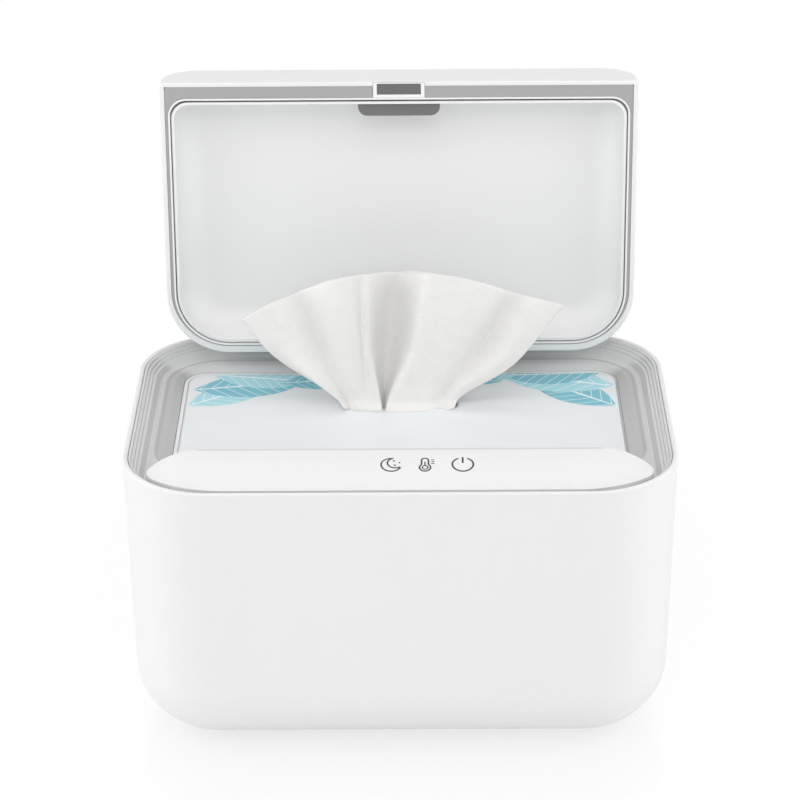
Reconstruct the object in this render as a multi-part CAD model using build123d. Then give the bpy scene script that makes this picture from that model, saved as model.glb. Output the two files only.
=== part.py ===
from build123d import *
import os
from math import radians, sin, sqrt, tan

# Baby wipe warmer, lid open. X to the right, Y to the back, Z up.
# The origin is on the table under the middle of the casing. Millimetres and degrees.

os.makedirs("parts", exist_ok=True)

# ---- casing ----
casing_width = 225.0
casing_depth = 154.0
rim_height = 124.0
casing_corner = 35.6
casing_front_corner = 37.2
casing_draft = 1.0
casing_wall = 2.1
floor_thick = 3.0
underside_round = 30.0
rim_round = 1.0
stand_gap = 1.0

# ---- base cover, the ring it stands on and its screws ----
cover_width = 150.0
cover_depth = 80.0
cover_corner = 14.0
cover_lap = 6.0
cover_rim_thick = 1.6
cover_gap = 0.25
cover_rim_gap = 0.05
cover_screw_gap = 0.15
ring_width = 3.5
ring_inset = 9.0
ring_groove = 1.0
cover_screw_inset = 6.0
vent_count = 5
vent_pitch = 5.0
vent_length = 36.0
vent_width = 2.0

# ---- small fasteners ----
screw_shank_r = 1.1
screw_head_r = 2.1
screw_head_h = 1.2
boss_r = 3.4

# ---- stepped collar ----
collar_gap = 0.25
collar_drop = 0.8
collar_height = 13.7
step_count = 3
step_tread = 0.85
step_run = 0.4
step_drop = 1.15
front_corner_pull = 1.75
shelf_inset = 9.6
shelf_depth = 6.8
shelf_width = 1.3
slope_knee_inset = 15.0
slope_knee_depth = 8.0
slope_depth = 10.0
collar_skin = 2.0
mouth_wall_corner = 20.0
mouth_wall_setback = 0.2
skirt_thick = 2.15
ledge_depth = 12.5
ledge_width = 0.8
support_rib = 2.5
support_rib_bite = 0.5
support_rib_height = 2.0

# ---- mouth of the tub, the tub and the pack in it ----
mouth_inset = 18.4
mouth_corner = 10.0
mouth_setback = 10.2
mouth_front_slope = 3.0
fit_gap = 0.2
tub_lip_depth = 10.2
tub_wall = 1.0
tub_lip_round = 0.4
tub_floor_top = 30.0
tub_draft = 1.5
tub_floor_round = 8.0
pack_gap = 0.15
pack_depth = 9.9
film_thick = 0.5
pack_edge_round = 2.0
slot_x = 1.5
slot_setback = 14.0
slot_length = 54.0
slot_width = 13.0

# ---- the wipe pulled up through the pack's slot ----
wipe_width = 134.0
wipe_tip_height = 42.0
wipe_height = 59.0
wipe_base_width = 44.0
wipe_base_thick = 8.0
wipe_top_thick = 18.0
wipe_lean = 9.0
wipe_side_bow = 4.0

# ---- control panel ----
panel_tip_gap = 1.4
panel_bow = 45.0
panel_bow_run = 31.5
panel_front_inset = 3.7
panel_depth = 19.1
panel_front_drop = 0.35
panel_crest_rise = 8.5
panel_curve = 48.0
panel_end_round = 32.0
panel_end_run = 22.5
panel_tip_run = 3.0
panel_tip_fall = 4.0
panel_slices = 10
panel_skin = 2.0
panel_squeeze_gap = 0.25
panel_boss_height = 12.0
panel_screw_length = 8.0
panel_screw_inset = 40.5
panel_screw_setback = 12.3

# ---- touch board under the panel ----
touch_board_screw_gap = 10.0
touch_board_width = 12.0
touch_board_setback = 10.8
board_thick = 1.6
touch_board_rise = 2.0
touch_pitch = 15.0
touch_centre_x = 11.0
touch_setback = 12.8
touch_pad_r = 3.6
led_size = 1.6
touch_post_inset = 8.0
touch_post_r = 3.0

# ---- lid ----
lid_side_gap = 1.8
lid_panel_gap = 0.6
lid_rear_inset = 9.8
lid_rim_gap = 0.8
lid_thick = 22.3
lid_corner = 27.0
lid_edge_round = 16.0
lid_front_round = 1.8
lid_rim_round = 0.6
lid_wall = 2.1
lid_wall_front = 1.8
lid_wall_rear = 3.0
lid_roof = 2.0
bezel_gap = 0.1
bezel_recess = 0.2
bezel_depth = 2.0
bezel_back = 1.2
bezel_front_corner = 1.0
seal_inset = 3.5
seal_front_inset = 7.0
seal_width = 0.7
seal_proud = 0.1
seal_front_corner = 7.6
dish_inset = 4.8
dish_front_inset = 8.6
dish_wall = 1.1
dish_rim_recess = 0.4
dish_height = 16.4
dish_draft = 6.0
dish_round = 12.0
dish_front_corner = 7.0

# ---- magnet catch ----
magnet_length = 18.3
magnet_width = 4.4
magnet_thick = 2.0
magnet_front_inset = 1.0
magnet_gap = 0.15
magnet_recess = 0.1
holder_wall = 1.5
holder_end_wall = 1.7
holder_height = 3.0
holder_front_inset = 0.4
strike_thick = 2.0
catch_cover_width = 34.6
catch_cover_depth = 5.6
catch_cover_corner = 4.0
catch_cover_recess = 2.2
catch_cover_thick = 7.0

# ---- hinge ----
hinge_inset = 2.15
hinge_rise = 7.7
lid_swing = 94.5
knuckle_r = 3.0
knuckle_length = 11.4
hinge_station_x = 32.0
ear_width = 6.0
ear_gap = 0.3
ear_front_reach = 0.75
ear_rear_reach = 2.95
pin_r = 1.5
pin_clearance = 0.06
bracket_thick = 2.2
bracket_length = 106.0
bracket_rear_inset = 5.3
bracket_screw_inset = 7.2
bracket_end_margin = 5.0
bracket_screw_length = 5.0

# ---- heater stack under the tub ----
spreader_thick = 1.0
sensor_strip = 13.0
heater_margin = 5.0
heater_thick = 0.4
mat_thick = 4.0
tab_width = 14.0
tab_x = -20.0
tab_wire_inset = 1.5
sensor_size = 6.0
sensor_height = 2.8
cutoff_flange = 0.8

# ---- power board in the bottom ----
board_end_margin = 19.0
board_side_margin = 11.0
board_height = 11.0
board_hole_end = 6.0
board_hole_side = 5.0
board_screw_grip = 4.5
connector_length = 8.0
connector_width = 6.0
connector_height = 6.0
wire_r = 0.7
wire_pitch = 2.6
wire_rise = 3.4
cable_x = 25.0
cable_width = 12.0
cable_thick = 0.8
cable_slot_gap = 0.6
cable_setback = 6.1
cable_bend = 10.0
inlet_wire_bend = 7.0
heater_wire_bend = 2.4
heater_wire_run = 5.1
sensor_wire_bend = 4.0

# ---- parts on the power board ----
coil_end_margin = 24.0
coil_y = 8.0
coil_r = 6.5
coil_hole_r = 2.5
coil_height = 7.0
coil_foot = 1.0
capacitor_x = 8.0
capacitor_pitch = 10.0
capacitor_y = -4.0
capacitor_r = 4.0
capacitor_height = 8.5
chip_x = -6.0
chip_y = 8.0
chip_size = 9.0
chip_thick = 1.4
transistor_end_margin = 32.0
transistor_y = 8.0
transistor_length = 10.0
transistor_width = 4.5
transistor_height = 7.5
relay_end_margin = 22.0
relay_y = -10.0
relay_length = 15.0
relay_width = 10.0
relay_height = 8.5

# ---- power inlet in the rear wall ----
inlet_hole_margin = 10.0
inlet_z = 38.0
inlet_bore_r = 5.5
inlet_depth = 8.0
inlet_tube_wall = 1.8
inlet_tube_setback = 0.5
jack_width = 11.0
jack_height = 12.0
jack_length = 9.0
jack_socket_r = 2.8
jack_socket_depth = 8.0
jack_pin_r = 1.0
jack_wire_inset = 3.4

# ---- values worked out from the ones above ----
half_width = casing_width / 2
half_depth = casing_depth / 2
floor_top = stand_gap + floor_thick
first_inset = casing_wall + collar_gap
collar_bottom = rim_height - collar_drop - collar_height
shelf_z = rim_height - shelf_depth
pocket_ceiling = shelf_z - collar_skin
ledge_z = rim_height - ledge_depth
lip_z = rim_height - tub_lip_depth
front_squeeze = (panel_front_inset - panel_squeeze_gap - first_inset) / (shelf_inset - first_inset)
panel_tip = half_width - shelf_inset - panel_tip_gap
panel_straight = panel_tip - panel_bow_run
panel_roll_start = panel_tip - panel_end_run
tub_inset = mouth_inset + ledge_width + fit_gap
tub_bottom = tub_floor_top - tub_wall
spreader_z = tub_bottom - spreader_thick
heater_z = spreader_z - heater_thick
mat_z = heater_z - mat_thick
board_top = board_height + board_thick
pack_inset = tub_inset + tub_wall + pack_gap
pack_top = rim_height - pack_depth
pack_bottom = tub_floor_top + fit_gap
stack_inset = pack_inset + film_thick + fit_gap
stack_top = pack_top - film_thick - fit_gap
panel_front = -half_depth + panel_front_inset
panel_rear = panel_front + panel_depth
panel_front_height = rim_height - panel_front_drop
panel_crest_height = rim_height + panel_crest_rise
panel_screw_x = half_width - panel_screw_inset
panel_screw_y = panel_front + panel_screw_setback
mouth_front = panel_rear + mouth_setback
mouth_mid_y = (half_depth - mouth_inset + mouth_front) / 2
slot_y = mouth_mid_y + slot_setback
touch_board_z = shelf_z + touch_board_rise
touch_board_y = panel_front + touch_board_setback
touch_board_half = panel_screw_x - touch_board_screw_gap
touch_post_x = touch_board_half - touch_post_inset
touch_y = panel_front + touch_setback
cable_slot_y = panel_front + cable_setback
lid_half = half_width - shelf_inset - lid_side_gap
lid_front = panel_rear + lid_panel_gap
lid_rear = half_depth - lid_rear_inset
lid_rim_height = shelf_z + lid_rim_gap
hinge_y = lid_rear - hinge_inset
hinge_z = lid_rim_height + hinge_rise
ear_front_y = hinge_y - ear_front_reach
ear_rear_y = hinge_y + ear_rear_reach
bracket_half = bracket_length / 2
bracket_rear_y = half_depth - bracket_rear_inset
bracket_screw_y = half_depth - bracket_screw_inset
bracket_screw_x = bracket_half - bracket_end_margin
floor_shrink = (ledge_z - tub_bottom) * tan(radians(tub_draft)) + tub_floor_round + tub_wall
spreader_length = 2 * (half_width - tub_inset - floor_shrink)
spreader_width = half_depth - mouth_front - 2 * (tub_inset + floor_shrink) + mouth_inset
film_length = spreader_length - 2 * sensor_strip
film_width = spreader_width - 2 * heater_margin
sensor_x = (spreader_length - sensor_strip) / 2
board_length = cover_width - 2 * board_end_margin
board_width = cover_depth - 2 * board_side_margin
board_hole_x = board_length / 2 - board_hole_end
board_hole_y = board_width / 2 - board_hole_side
coil_x = coil_end_margin - board_length / 2
relay_x = relay_end_margin - board_length / 2
transistor_x = board_length / 2 - transistor_end_margin
inlet_x = board_hole_x - inlet_hole_margin
wire_height = board_top + wire_rise
hinge_axis = Axis((0, hinge_y, hinge_z), (1, 0, 0))
ear_inner_x = hinge_station_x - knuckle_length / 2 - ear_gap - ear_width
ear_outer_x = hinge_station_x + knuckle_length / 2 + ear_gap
ear_starts = [side * x - (ear_width if side < 0 else 0)
              for side in (-1, 1) for x in (ear_inner_x, ear_outer_x)]
bracket_top = pocket_ceiling
bracket_z = bracket_top - bracket_thick
LOW = (Align.CENTER, Align.CENTER, Align.MIN)


def save(name, *solids):
    """Write one sub-part's solids as parts/NAME.step."""
    shape = solids[0] if len(solids) == 1 else Compound(children=list(solids))
    export_step(shape, f"parts/{name}.step")


def box_between(low, high):
    """A box from its lowest corner to its highest."""
    size = [b - a for a, b in zip(low, high)]
    middle = [(a + b) / 2 for a, b in zip(low, high)]
    return Pos(*middle) * Box(*size)


def upright(x, y, z, radius, height):
    """A cylinder standing on z."""
    return Pos(x, y, z) * Cylinder(radius, height, align=LOW)


def screw(x, y, head_z, length, up=1):
    """A pan-head screw, its head's inner face at head_z, its shank going up or down."""
    head = upright(x, y, head_z - (screw_head_h if up > 0 else 0), screw_head_r, screw_head_h)
    shank = upright(x, y, head_z - (0 if up > 0 else length), screw_shank_r, length)
    return head + shank


def corners(x, y):
    """The four places at plus and minus x and y."""
    return [(sx * x, sy * y) for sx in (-1, 1) for sy in (-1, 1)]


def closed_face(*parts):
    """A face inside lines and arcs given in order."""
    return make_face([edge for part in parts for edge in part.edges()])


def wire_run(points, bend, radius):
    """A round wire along straight runs joined by arcs of one radius."""
    path = FilletPolyline(*points, radius=bend)
    start = path.position_at(0)
    return sweep(Plane(start, z_dir=path.tangent_at(0)) * Circle(radius), path=path)


def rounded_frame(inset, front, z, front_corner):
    """The rim's outline at an inset from the sides and rear, its front and front corners given."""
    rear = half_depth - inset
    frame = Pos(0, (front + rear) / 2, z) * Rectangle(casing_width - 2 * inset, rear - front)
    frame = fillet(frame.vertices().group_by(Axis.Y)[0], front_corner)
    return fillet(frame.vertices().group_by(Axis.Y)[-1], casing_corner - inset)


# ---- casing ----

def casing_block(inset, bottom_z, bottom_round=0.0):
    """The casing's tapered rounded block, inset all round, from the rim down to bottom_z."""
    outline = rounded_frame(inset, inset - half_depth, rim_height, casing_front_corner - inset)
    block = extrude(outline, amount=rim_height - bottom_z, dir=(0, 0, -1), taper=casing_draft)
    if bottom_round:
        block = fillet(block.edges().group_by(Axis.Z)[0], bottom_round)
    return block


def cover_screw_places():
    return corners(cover_width / 2 - cover_screw_inset, cover_depth / 2 - cover_screw_inset)


def inlet_wall_y():
    """Where the casing's drafted rear wall stands at the inlet's height."""
    return half_depth - (rim_height - inlet_z) * tan(radians(casing_draft))


def make_outer_shell():
    shell = casing_block(0, stand_gap, underside_round)
    shell -= casing_block(casing_wall, floor_top, underside_round - casing_wall)
    shell = fillet(shell.faces().sort_by(Axis.Z)[-1].edges(), rim_round)
    rib_z = collar_bottom - support_rib_height
    rib = casing_block(casing_wall - support_rib_bite, rib_z)
    rib -= casing_block(casing_wall + support_rib, rib_z)
    shell += rib & box_between((-half_width, -half_depth, rib_z), (half_width, half_depth, collar_bottom))
    rebate = Pos(0, 0, stand_gap) * RectangleRounded(cover_width, cover_depth, cover_corner)
    shell -= extrude(rebate, amount=cover_rim_thick)
    opening = Pos(0, 0, stand_gap) * RectangleRounded(
        cover_width - 2 * cover_lap, cover_depth - 2 * cover_lap, cover_corner - cover_lap)
    shell -= extrude(opening, amount=floor_thick + 1)
    for x, y in cover_screw_places():
        shell -= upright(x, y, stand_gap, screw_shank_r, floor_thick)
    tube_end = inlet_wall_y() - inlet_depth
    along_y = Plane((inlet_x, tube_end, inlet_z), x_dir=(1, 0, 0), z_dir=(0, 1, 0))
    shell += extrude(along_y * Circle(inlet_bore_r + inlet_tube_wall),
                     amount=inlet_depth - inlet_tube_setback)
    shell -= extrude(along_y * Circle(inlet_bore_r), amount=inlet_depth + casing_wall)
    return shell


def make_base_cover():
    rim = Pos(0, 0, stand_gap) * RectangleRounded(
        cover_width - 2 * cover_gap, cover_depth - 2 * cover_gap, cover_corner - cover_gap)
    plug_inset = cover_lap + cover_gap
    plug = Pos(0, 0, stand_gap) * RectangleRounded(
        cover_width - 2 * plug_inset, cover_depth - 2 * plug_inset, cover_corner - plug_inset)
    cover = extrude(rim, amount=cover_rim_thick - cover_rim_gap) + extrude(plug, amount=floor_thick)
    for x, y in corners(board_hole_x, board_hole_y):
        cover += upright(x, y, stand_gap, boss_r, board_height - stand_gap)
        cover -= upright(x, y, board_height - board_screw_grip, screw_shank_r, board_screw_grip)
    cover -= make_anti_slip_ring()
    for x, y in cover_screw_places():
        cover -= upright(x, y, stand_gap, screw_head_r + cover_screw_gap, screw_head_h)
        cover -= upright(x, y, stand_gap, screw_shank_r, floor_thick)
    for row in range(vent_count):
        y = (row - (vent_count - 1) / 2) * vent_pitch
        cover -= extrude(Pos(0, y, stand_gap) * SlotOverall(vent_length, vent_width), amount=floor_thick)
    return cover


def make_anti_slip_ring():
    """The closed ring that the warmer stands on, deep enough to fill its groove."""
    outer = RectangleRounded(cover_width - 2 * ring_inset, cover_depth - 2 * ring_inset, cover_corner)
    inner_inset = ring_inset + ring_width
    inner = RectangleRounded(cover_width - 2 * inner_inset,
                             cover_depth - 2 * inner_inset, cover_corner - ring_width)
    return extrude(outer - inner, amount=stand_gap + ring_groove)


def make_base_screws():
    length = floor_top - stand_gap - screw_head_h
    return [screw(x, y, stand_gap + screw_head_h, length) for x, y in cover_screw_places()]


# ---- collar ----

def ring_outline(inset, z):
    """Outline inside the rim: even at the sides and rear, squeezed towards the front."""
    inside = inset - first_inset
    front = -half_depth + first_inset + inside * front_squeeze
    return rounded_frame(inset, front, z,
                         casing_front_corner - first_inset - inside * front_corner_pull)


def mouth_outline(inset, z, corner=None, front=None):
    """Outline of the tub's mouth and of what follows it."""
    front = mouth_front + (inset - mouth_inset) if front is None else front
    corner = mouth_corner - (inset - mouth_inset) if corner is None else corner
    rear = half_depth - inset
    return Pos(0, (front + rear) / 2, z) * RectangleRounded(
        casing_width - 2 * inset, rear - front, corner)


def step_levels():
    """Inset and depth at the top and foot of each riser, from the rim inwards."""
    levels = []
    for k in range(step_count):
        inset = first_inset + step_tread + k * (step_tread + step_run)
        depth = collar_drop + k * step_drop
        levels.append((inset, depth, inset + step_run, depth + step_drop))
    inset, depth = levels[-1][2] + step_tread, levels[-1][3]
    levels.append((inset, depth, shelf_inset, shelf_depth))
    return levels


def collar_hollow():
    """Everything open above the collar's surface: steps, wall, slope and mouth."""
    hollow = None
    for top_inset, top_depth, low_inset, low_depth in step_levels():
        layer = loft([ring_outline(low_inset, rim_height - low_depth),
                      ring_outline(top_inset, rim_height - top_depth)], ruled=True)
        hollow = layer if hollow is None else hollow + layer
    slope_top = shelf_inset + shelf_width
    knee_share = (slope_knee_depth - shelf_depth) / (slope_depth - shelf_depth)
    knee_front = mouth_front - mouth_front_slope * (1 - knee_share)
    knee_corner = (casing_corner - slope_top + mouth_corner) / 2
    top = mouth_outline(slope_top, shelf_z, casing_corner - slope_top, mouth_front - mouth_front_slope)
    knee = mouth_outline(slope_knee_inset, rim_height - slope_knee_depth, knee_corner, knee_front)
    foot = mouth_outline(mouth_inset, rim_height - slope_depth)
    hollow += loft([knee, top], ruled=True) + loft([foot, knee], ruled=True)
    hollow += extrude(mouth_outline(mouth_inset, ledge_z), amount=ledge_depth - slope_depth)
    low = mouth_outline(mouth_inset + ledge_width, collar_bottom)
    hollow += extrude(low, amount=ledge_z - collar_bottom)
    return hollow


def collar_pocket():
    """The hollow underside between the collar's skirt and its mouth wall."""
    skirt_inset = first_inset + skirt_thick
    outer = rounded_frame(skirt_inset, skirt_inset - half_depth, collar_bottom,
                          casing_front_corner - skirt_inset)
    island_inset = mouth_inset - collar_skin * 2
    island = mouth_outline(island_inset, collar_bottom, mouth_wall_corner,
                           mouth_front - mouth_front_slope - mouth_wall_setback)
    return extrude(outer - island, amount=pocket_ceiling - collar_bottom)


def ear_box(start, grow, low_z, high_z, front_y, rear_y):
    return box_between((start - grow, front_y, low_z), (start + ear_width + grow, rear_y, high_z))


def make_stepped_collar():
    collar = casing_block(first_inset, collar_bottom)
    collar -= box_between((-half_width, -half_depth, rim_height - collar_drop),
                          (half_width, half_depth, rim_height + 1))
    collar -= collar_pocket()
    collar -= collar_hollow()
    for start in ear_starts:
        collar -= ear_box(start, ear_gap, pocket_ceiling - 1, rim_height,
                          ear_front_y - ear_gap, ear_rear_y + ear_gap)
    for x in (-bracket_screw_x, 0, bracket_screw_x):
        collar -= upright(x, bracket_screw_y, pocket_ceiling, screw_shank_r,
                          bracket_screw_length - bracket_thick)
    for side in (-1, 1):
        x = side * touch_post_x
        collar += upright(x, touch_board_y, pocket_ceiling, touch_post_r,
                          touch_board_z - pocket_ceiling)
        collar -= upright(x, touch_board_y, pocket_ceiling, screw_shank_r,
                          touch_board_z - pocket_ceiling)
        collar -= upright(side * panel_screw_x, panel_screw_y, pocket_ceiling,
                          screw_shank_r + fit_gap, collar_skin)
    half_slot = (cable_width / 2 + cable_slot_gap, cable_thick / 2 + cable_slot_gap)
    collar -= box_between((cable_x - half_slot[0], cable_slot_y - half_slot[1], pocket_ceiling),
                          (cable_x + half_slot[0], cable_slot_y + half_slot[1], rim_height))
    return collar


# ---- tub and pack ----

def tapered_block(inset, top_z, bottom_z, bottom_round):
    """A block that fills the tub's mouth at an inset and narrows downwards."""
    block = extrude(mouth_outline(inset, top_z), amount=top_z - bottom_z, dir=(0, 0, -1),
                    taper=tub_draft)
    return fillet(block.edges().group_by(Axis.Z)[0], bottom_round)


def make_liner_tub():
    flange = extrude(mouth_outline(mouth_inset + fit_gap / 2, ledge_z), amount=lip_z - ledge_z)
    tub = tapered_block(tub_inset, ledge_z, tub_bottom, tub_floor_round + tub_wall) + flange
    tub -= tapered_block(tub_inset + tub_wall, lip_z, tub_floor_top, tub_floor_round)
    return fillet(tub.faces().sort_by(Axis.Z)[-1].edges(), tub_lip_round)


def make_pack_film():
    film = tapered_block(pack_inset, pack_top, pack_bottom, tub_floor_round)
    film = fillet(film.edges().group_by(Axis.Z)[-1], pack_edge_round)
    inner = tapered_block(pack_inset + film_thick, pack_top - film_thick,
                          pack_bottom + film_thick, tub_floor_round - film_thick)
    film -= fillet(inner.edges().group_by(Axis.Z)[-1], pack_edge_round - film_thick)
    slot = Pos(slot_x, slot_y, pack_top - 3) * SlotOverall(slot_length, slot_width)
    return film - extrude(slot, amount=5)


def make_wipe_stack():
    stack = tapered_block(stack_inset, stack_top, pack_bottom + film_thick + fit_gap,
                          tub_floor_round)
    return fillet(stack.edges().group_by(Axis.Z)[-1], pack_edge_round)


def make_wipe():
    """A fan of soft cloth: its outline seen from the front, crossed with its side profile."""
    tip_z = stack_top + wipe_tip_height
    top_z = stack_top + wipe_height
    tip, base = wipe_width / 2, wipe_base_width / 2
    side_mid = ((tip + base) / 2 + wipe_side_bow, (stack_top + tip_z) / 2 - wipe_side_bow)
    front = Plane((slot_x, 0, 0), x_dir=(1, 0, 0), z_dir=(0, -1, 0))
    outline = closed_face(
        Line((-base, stack_top), (base, stack_top)),
        ThreePointArc((base, stack_top), side_mid, (tip, tip_z)),
        ThreePointArc((tip, tip_z), (0, top_z), (-tip, tip_z)),
        ThreePointArc((-tip, tip_z), (-side_mid[0], side_mid[1]), (-base, stack_top)))
    fan = extrude(front * outline, amount=half_depth, both=True)
    low, high = wipe_base_thick / 2, wipe_top_thick / 2
    side = Plane((0, slot_y, 0), x_dir=(0, 1, 0), z_dir=(1, 0, 0))
    profile = Polyline((-low, stack_top), (low, stack_top), (wipe_lean + high, top_z + 1),
                       (wipe_lean - high, top_z + 1), close=True)
    return fan & extrude(side * make_face(profile), amount=wipe_width, both=True)


# ---- control panel and what is under it ----

def arc_fall(radius, run):
    """How far an arc has left the line it started along after a run."""
    return radius - sqrt(max(radius ** 2 - max(run, 0.0) ** 2, 0.0))


def panel_section(x, skin):
    """Upright slice across the panel at a distance from the middle: front, crowned top and rear."""
    tip_run = (x - panel_tip + skin) / panel_tip_run + 1
    front = panel_front + skin + arc_fall(panel_bow - skin, x - panel_straight)
    front += (panel_tip_fall - skin) * arc_fall(1.0, tip_run)
    rear = panel_rear - skin
    brow = panel_front_height - skin
    crest = panel_crest_height - skin - arc_fall(panel_end_round - skin, x - panel_roll_start)
    plane = Plane((x, 0, 0), x_dir=(0, 1, 0), z_dir=(1, 0, 0))
    return plane * closed_face(
        RadiusArc((front, brow), (rear, crest), panel_curve),
        Polyline((rear, crest), (rear, shelf_z), (front, shelf_z), (front, brow)))


def panel_block(skin):
    """The panel's outer form, or the same form thinned by a skin: straight, with ends that roll
    down and narrow to a tip."""
    reach = panel_tip - skin - panel_straight
    turns = [radians(90 * k / panel_slices) for k in range(panel_slices + 1)]
    end = loft([panel_section(panel_straight + reach * sin(turn), skin) for turn in turns])
    middle = extrude(panel_section(0, skin), amount=panel_straight, both=True)
    return middle + end + mirror(end, about=Plane.YZ)


def make_control_panel():
    panel = panel_block(0)
    hollow = panel_block(panel_skin)
    panel -= hollow
    for side in (-1, 1):
        x = side * panel_screw_x
        boss = upright(x, panel_screw_y, shelf_z, boss_r, panel_boss_height)
        panel += boss & panel_block(panel_skin / 2)
        panel -= upright(x, panel_screw_y, shelf_z, screw_shank_r, panel_screw_length - collar_skin)
    return panel


def make_panel_screws():
    return [screw(side * panel_screw_x, panel_screw_y, pocket_ceiling, panel_screw_length)
            for side in (-1, 1)]


def touch_places():
    """Centres of the three touch pads, left to right."""
    return [(touch_centre_x + k * touch_pitch, touch_y) for k in (-1, 0, 1)]


def make_touch_board():
    board = box_between(
        (-touch_board_half, touch_board_y - touch_board_width / 2, touch_board_z),
        (touch_board_half, touch_board_y + touch_board_width / 2, touch_board_z + board_thick))
    for side in (-1, 1):
        board -= upright(side * touch_post_x, touch_board_y, touch_board_z, screw_shank_r, board_thick)
    return board


def make_touch_board_screws():
    top = touch_board_z + board_thick
    return [screw(side * touch_post_x, touch_board_y, top, board_thick + touch_board_rise, up=-1)
            for side in (-1, 1)]


def make_touch_pads():
    """Conductive foam pads from the board up to the panel's underside."""
    foot = touch_board_z + board_thick
    room = panel_block(panel_skin)
    return [upright(x, y, foot, touch_pad_r, panel_crest_height - foot) & room
            for x, y in touch_places()]


def make_status_leds():
    foot = touch_board_z + board_thick
    return [Pos(x + touch_pitch / 2, y, foot) * Box(led_size, led_size, led_size / 2, align=LOW)
            for x, y in touch_places()]


def make_ribbon_cable():
    """A flat cable from the touch board, down the front wall, to the power board."""
    start_z = touch_board_z
    end_y = front_connector_face()
    points = [(cable_x, cable_slot_y, start_z), (cable_x, cable_slot_y, wire_height),
              (cable_x, end_y, wire_height)]
    path = FilletPolyline(*points, radius=cable_bend)
    return sweep(Plane(points[0], x_dir=(1, 0, 0), z_dir=(0, 0, -1)) *
                 Rectangle(cable_width, cable_thick), path=path)


# ---- hinge ----

def make_hinge_bracket():
    bracket = box_between((-bracket_half, ear_front_y, bracket_z),
                          (bracket_half, bracket_rear_y, bracket_top))
    for start in ear_starts:
        bracket += ear_box(start, 0, bracket_z, hinge_z - knuckle_r * 0.7, ear_front_y, ear_rear_y)
        head = Plane((start, hinge_y, hinge_z), x_dir=(0, 1, 0), z_dir=(1, 0, 0))
        bracket += extrude(head * Circle(knuckle_r), amount=ear_width)
        bracket += ear_box(start, 0, bracket_z, hinge_z, hinge_y, ear_rear_y)
        bracket -= extrude(head * Circle(pin_r), amount=ear_width)
    for x in (-bracket_screw_x, 0, bracket_screw_x):
        bracket -= upright(x, bracket_screw_y, bracket_z, screw_shank_r, bracket_thick)
    return bracket


def make_hinge_screws():
    return [screw(x, bracket_screw_y, bracket_z, bracket_screw_length)
            for x in (-bracket_screw_x, 0, bracket_screw_x)]


def make_hinge_pins():
    length = knuckle_length + 2 * (ear_gap + ear_width)
    start = hinge_station_x - length / 2
    places = [side * hinge_station_x - length / 2 for side in (-1, 1)]
    return [extrude(Plane((x, hinge_y, hinge_z), x_dir=(0, 1, 0), z_dir=(1, 0, 0)) *
                    Circle(pin_r), amount=length) for x in places]


# ---- lid, drawn closed ----

def lid_block(side, rear, front, roof, base_z):
    """The lid's D-shaped form inset by its walls: rounded edge at sides and rear, flat front."""
    corner = lid_corner - side
    deep = lid_rear - lid_front + 2 * lid_corner
    outline = Pos(0, lid_rear - rear - deep / 2, base_z) * RectangleRounded(
        2 * (lid_half - side), deep, corner)
    top = lid_rim_height + lid_thick - roof
    block = extrude(outline, amount=top - base_z)
    block = fillet(block.edges().group_by(Axis.Z)[-1], lid_edge_round - side)
    return block & box_between((-half_width, lid_front + front, base_z), (half_width, half_depth, top))


def lid_outline(inset, front_inset, z, front_corner):
    """A D-shaped outline in the lid's rim: one radius at the front, a large one at the rear."""
    front, rear = lid_front + front_inset, lid_rear - inset
    shape = Rectangle(2 * (lid_half - inset), rear - front)
    front_points = shape.vertices().group_by(Axis.Y)[0]
    shape = fillet(front_points, front_corner)
    rear_points = shape.vertices().group_by(Axis.Y)[-1]
    shape = fillet(rear_points, lid_corner - inset)
    return Pos(0, (front + rear) / 2, z) * shape


def hinge_notches(front_y):
    """Room in the lid for the bracket's ears."""
    top = hinge_z + knuckle_r + ear_gap
    boxes = [ear_box(start, ear_gap, lid_rim_height - 2, top, front_y, lid_rear + 3)
             for start in ear_starts]
    return boxes


def holder_block(grow, low_z, high_z):
    """The magnet holder's outer block in the lid's front edge."""
    half = magnet_length / 2 + holder_end_wall + grow
    return box_between((-half, lid_front + holder_front_inset - grow, low_z),
                       (half, lid_front + magnet_front_inset + magnet_width + holder_wall + grow, high_z))


def make_lid_shell():
    shell = lid_block(0, 0, 0, 0, lid_rim_height)
    front_face = shell.faces().sort_by(Axis.Y)[0]
    upper = [e for e in front_face.edges() if e.center().Z > lid_rim_height + lid_rim_round]
    shell = fillet(upper, lid_front_round)
    shell = fillet(shell.edges().group_by(Axis.Z)[0], lid_rim_round)
    shell -= lid_block(lid_wall, lid_wall_rear, lid_wall_front, lid_roof, lid_rim_height)
    for side in (-1, 1):
        start = side * hinge_station_x - knuckle_length / 2
        barrel = Plane((start, hinge_y, hinge_z), x_dir=(0, 1, 0), z_dir=(1, 0, 0))
        shell += extrude(barrel * Circle(knuckle_r), amount=knuckle_length)
        shell -= extrude(barrel * Circle(pin_r + pin_clearance), amount=knuckle_length)
    for notch in hinge_notches(ear_front_y - 4):
        shell -= notch
    shell -= holder_block(magnet_gap, lid_rim_height - 1, lid_rim_height + holder_height)
    return shell


def dish_block(skin):
    """The dish's outer form, or its hollow when thinned by the wall."""
    base = lid_outline(dish_inset + skin, dish_front_inset + skin,
                       lid_rim_height + dish_rim_recess, dish_front_corner - skin * 0.6)
    block = extrude(base, amount=dish_height - skin, taper=dish_draft)
    return fillet(block.edges().group_by(Axis.Z)[-1], dish_round - skin)


def make_lid_dish():
    return dish_block(0) - dish_block(dish_wall)


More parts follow.
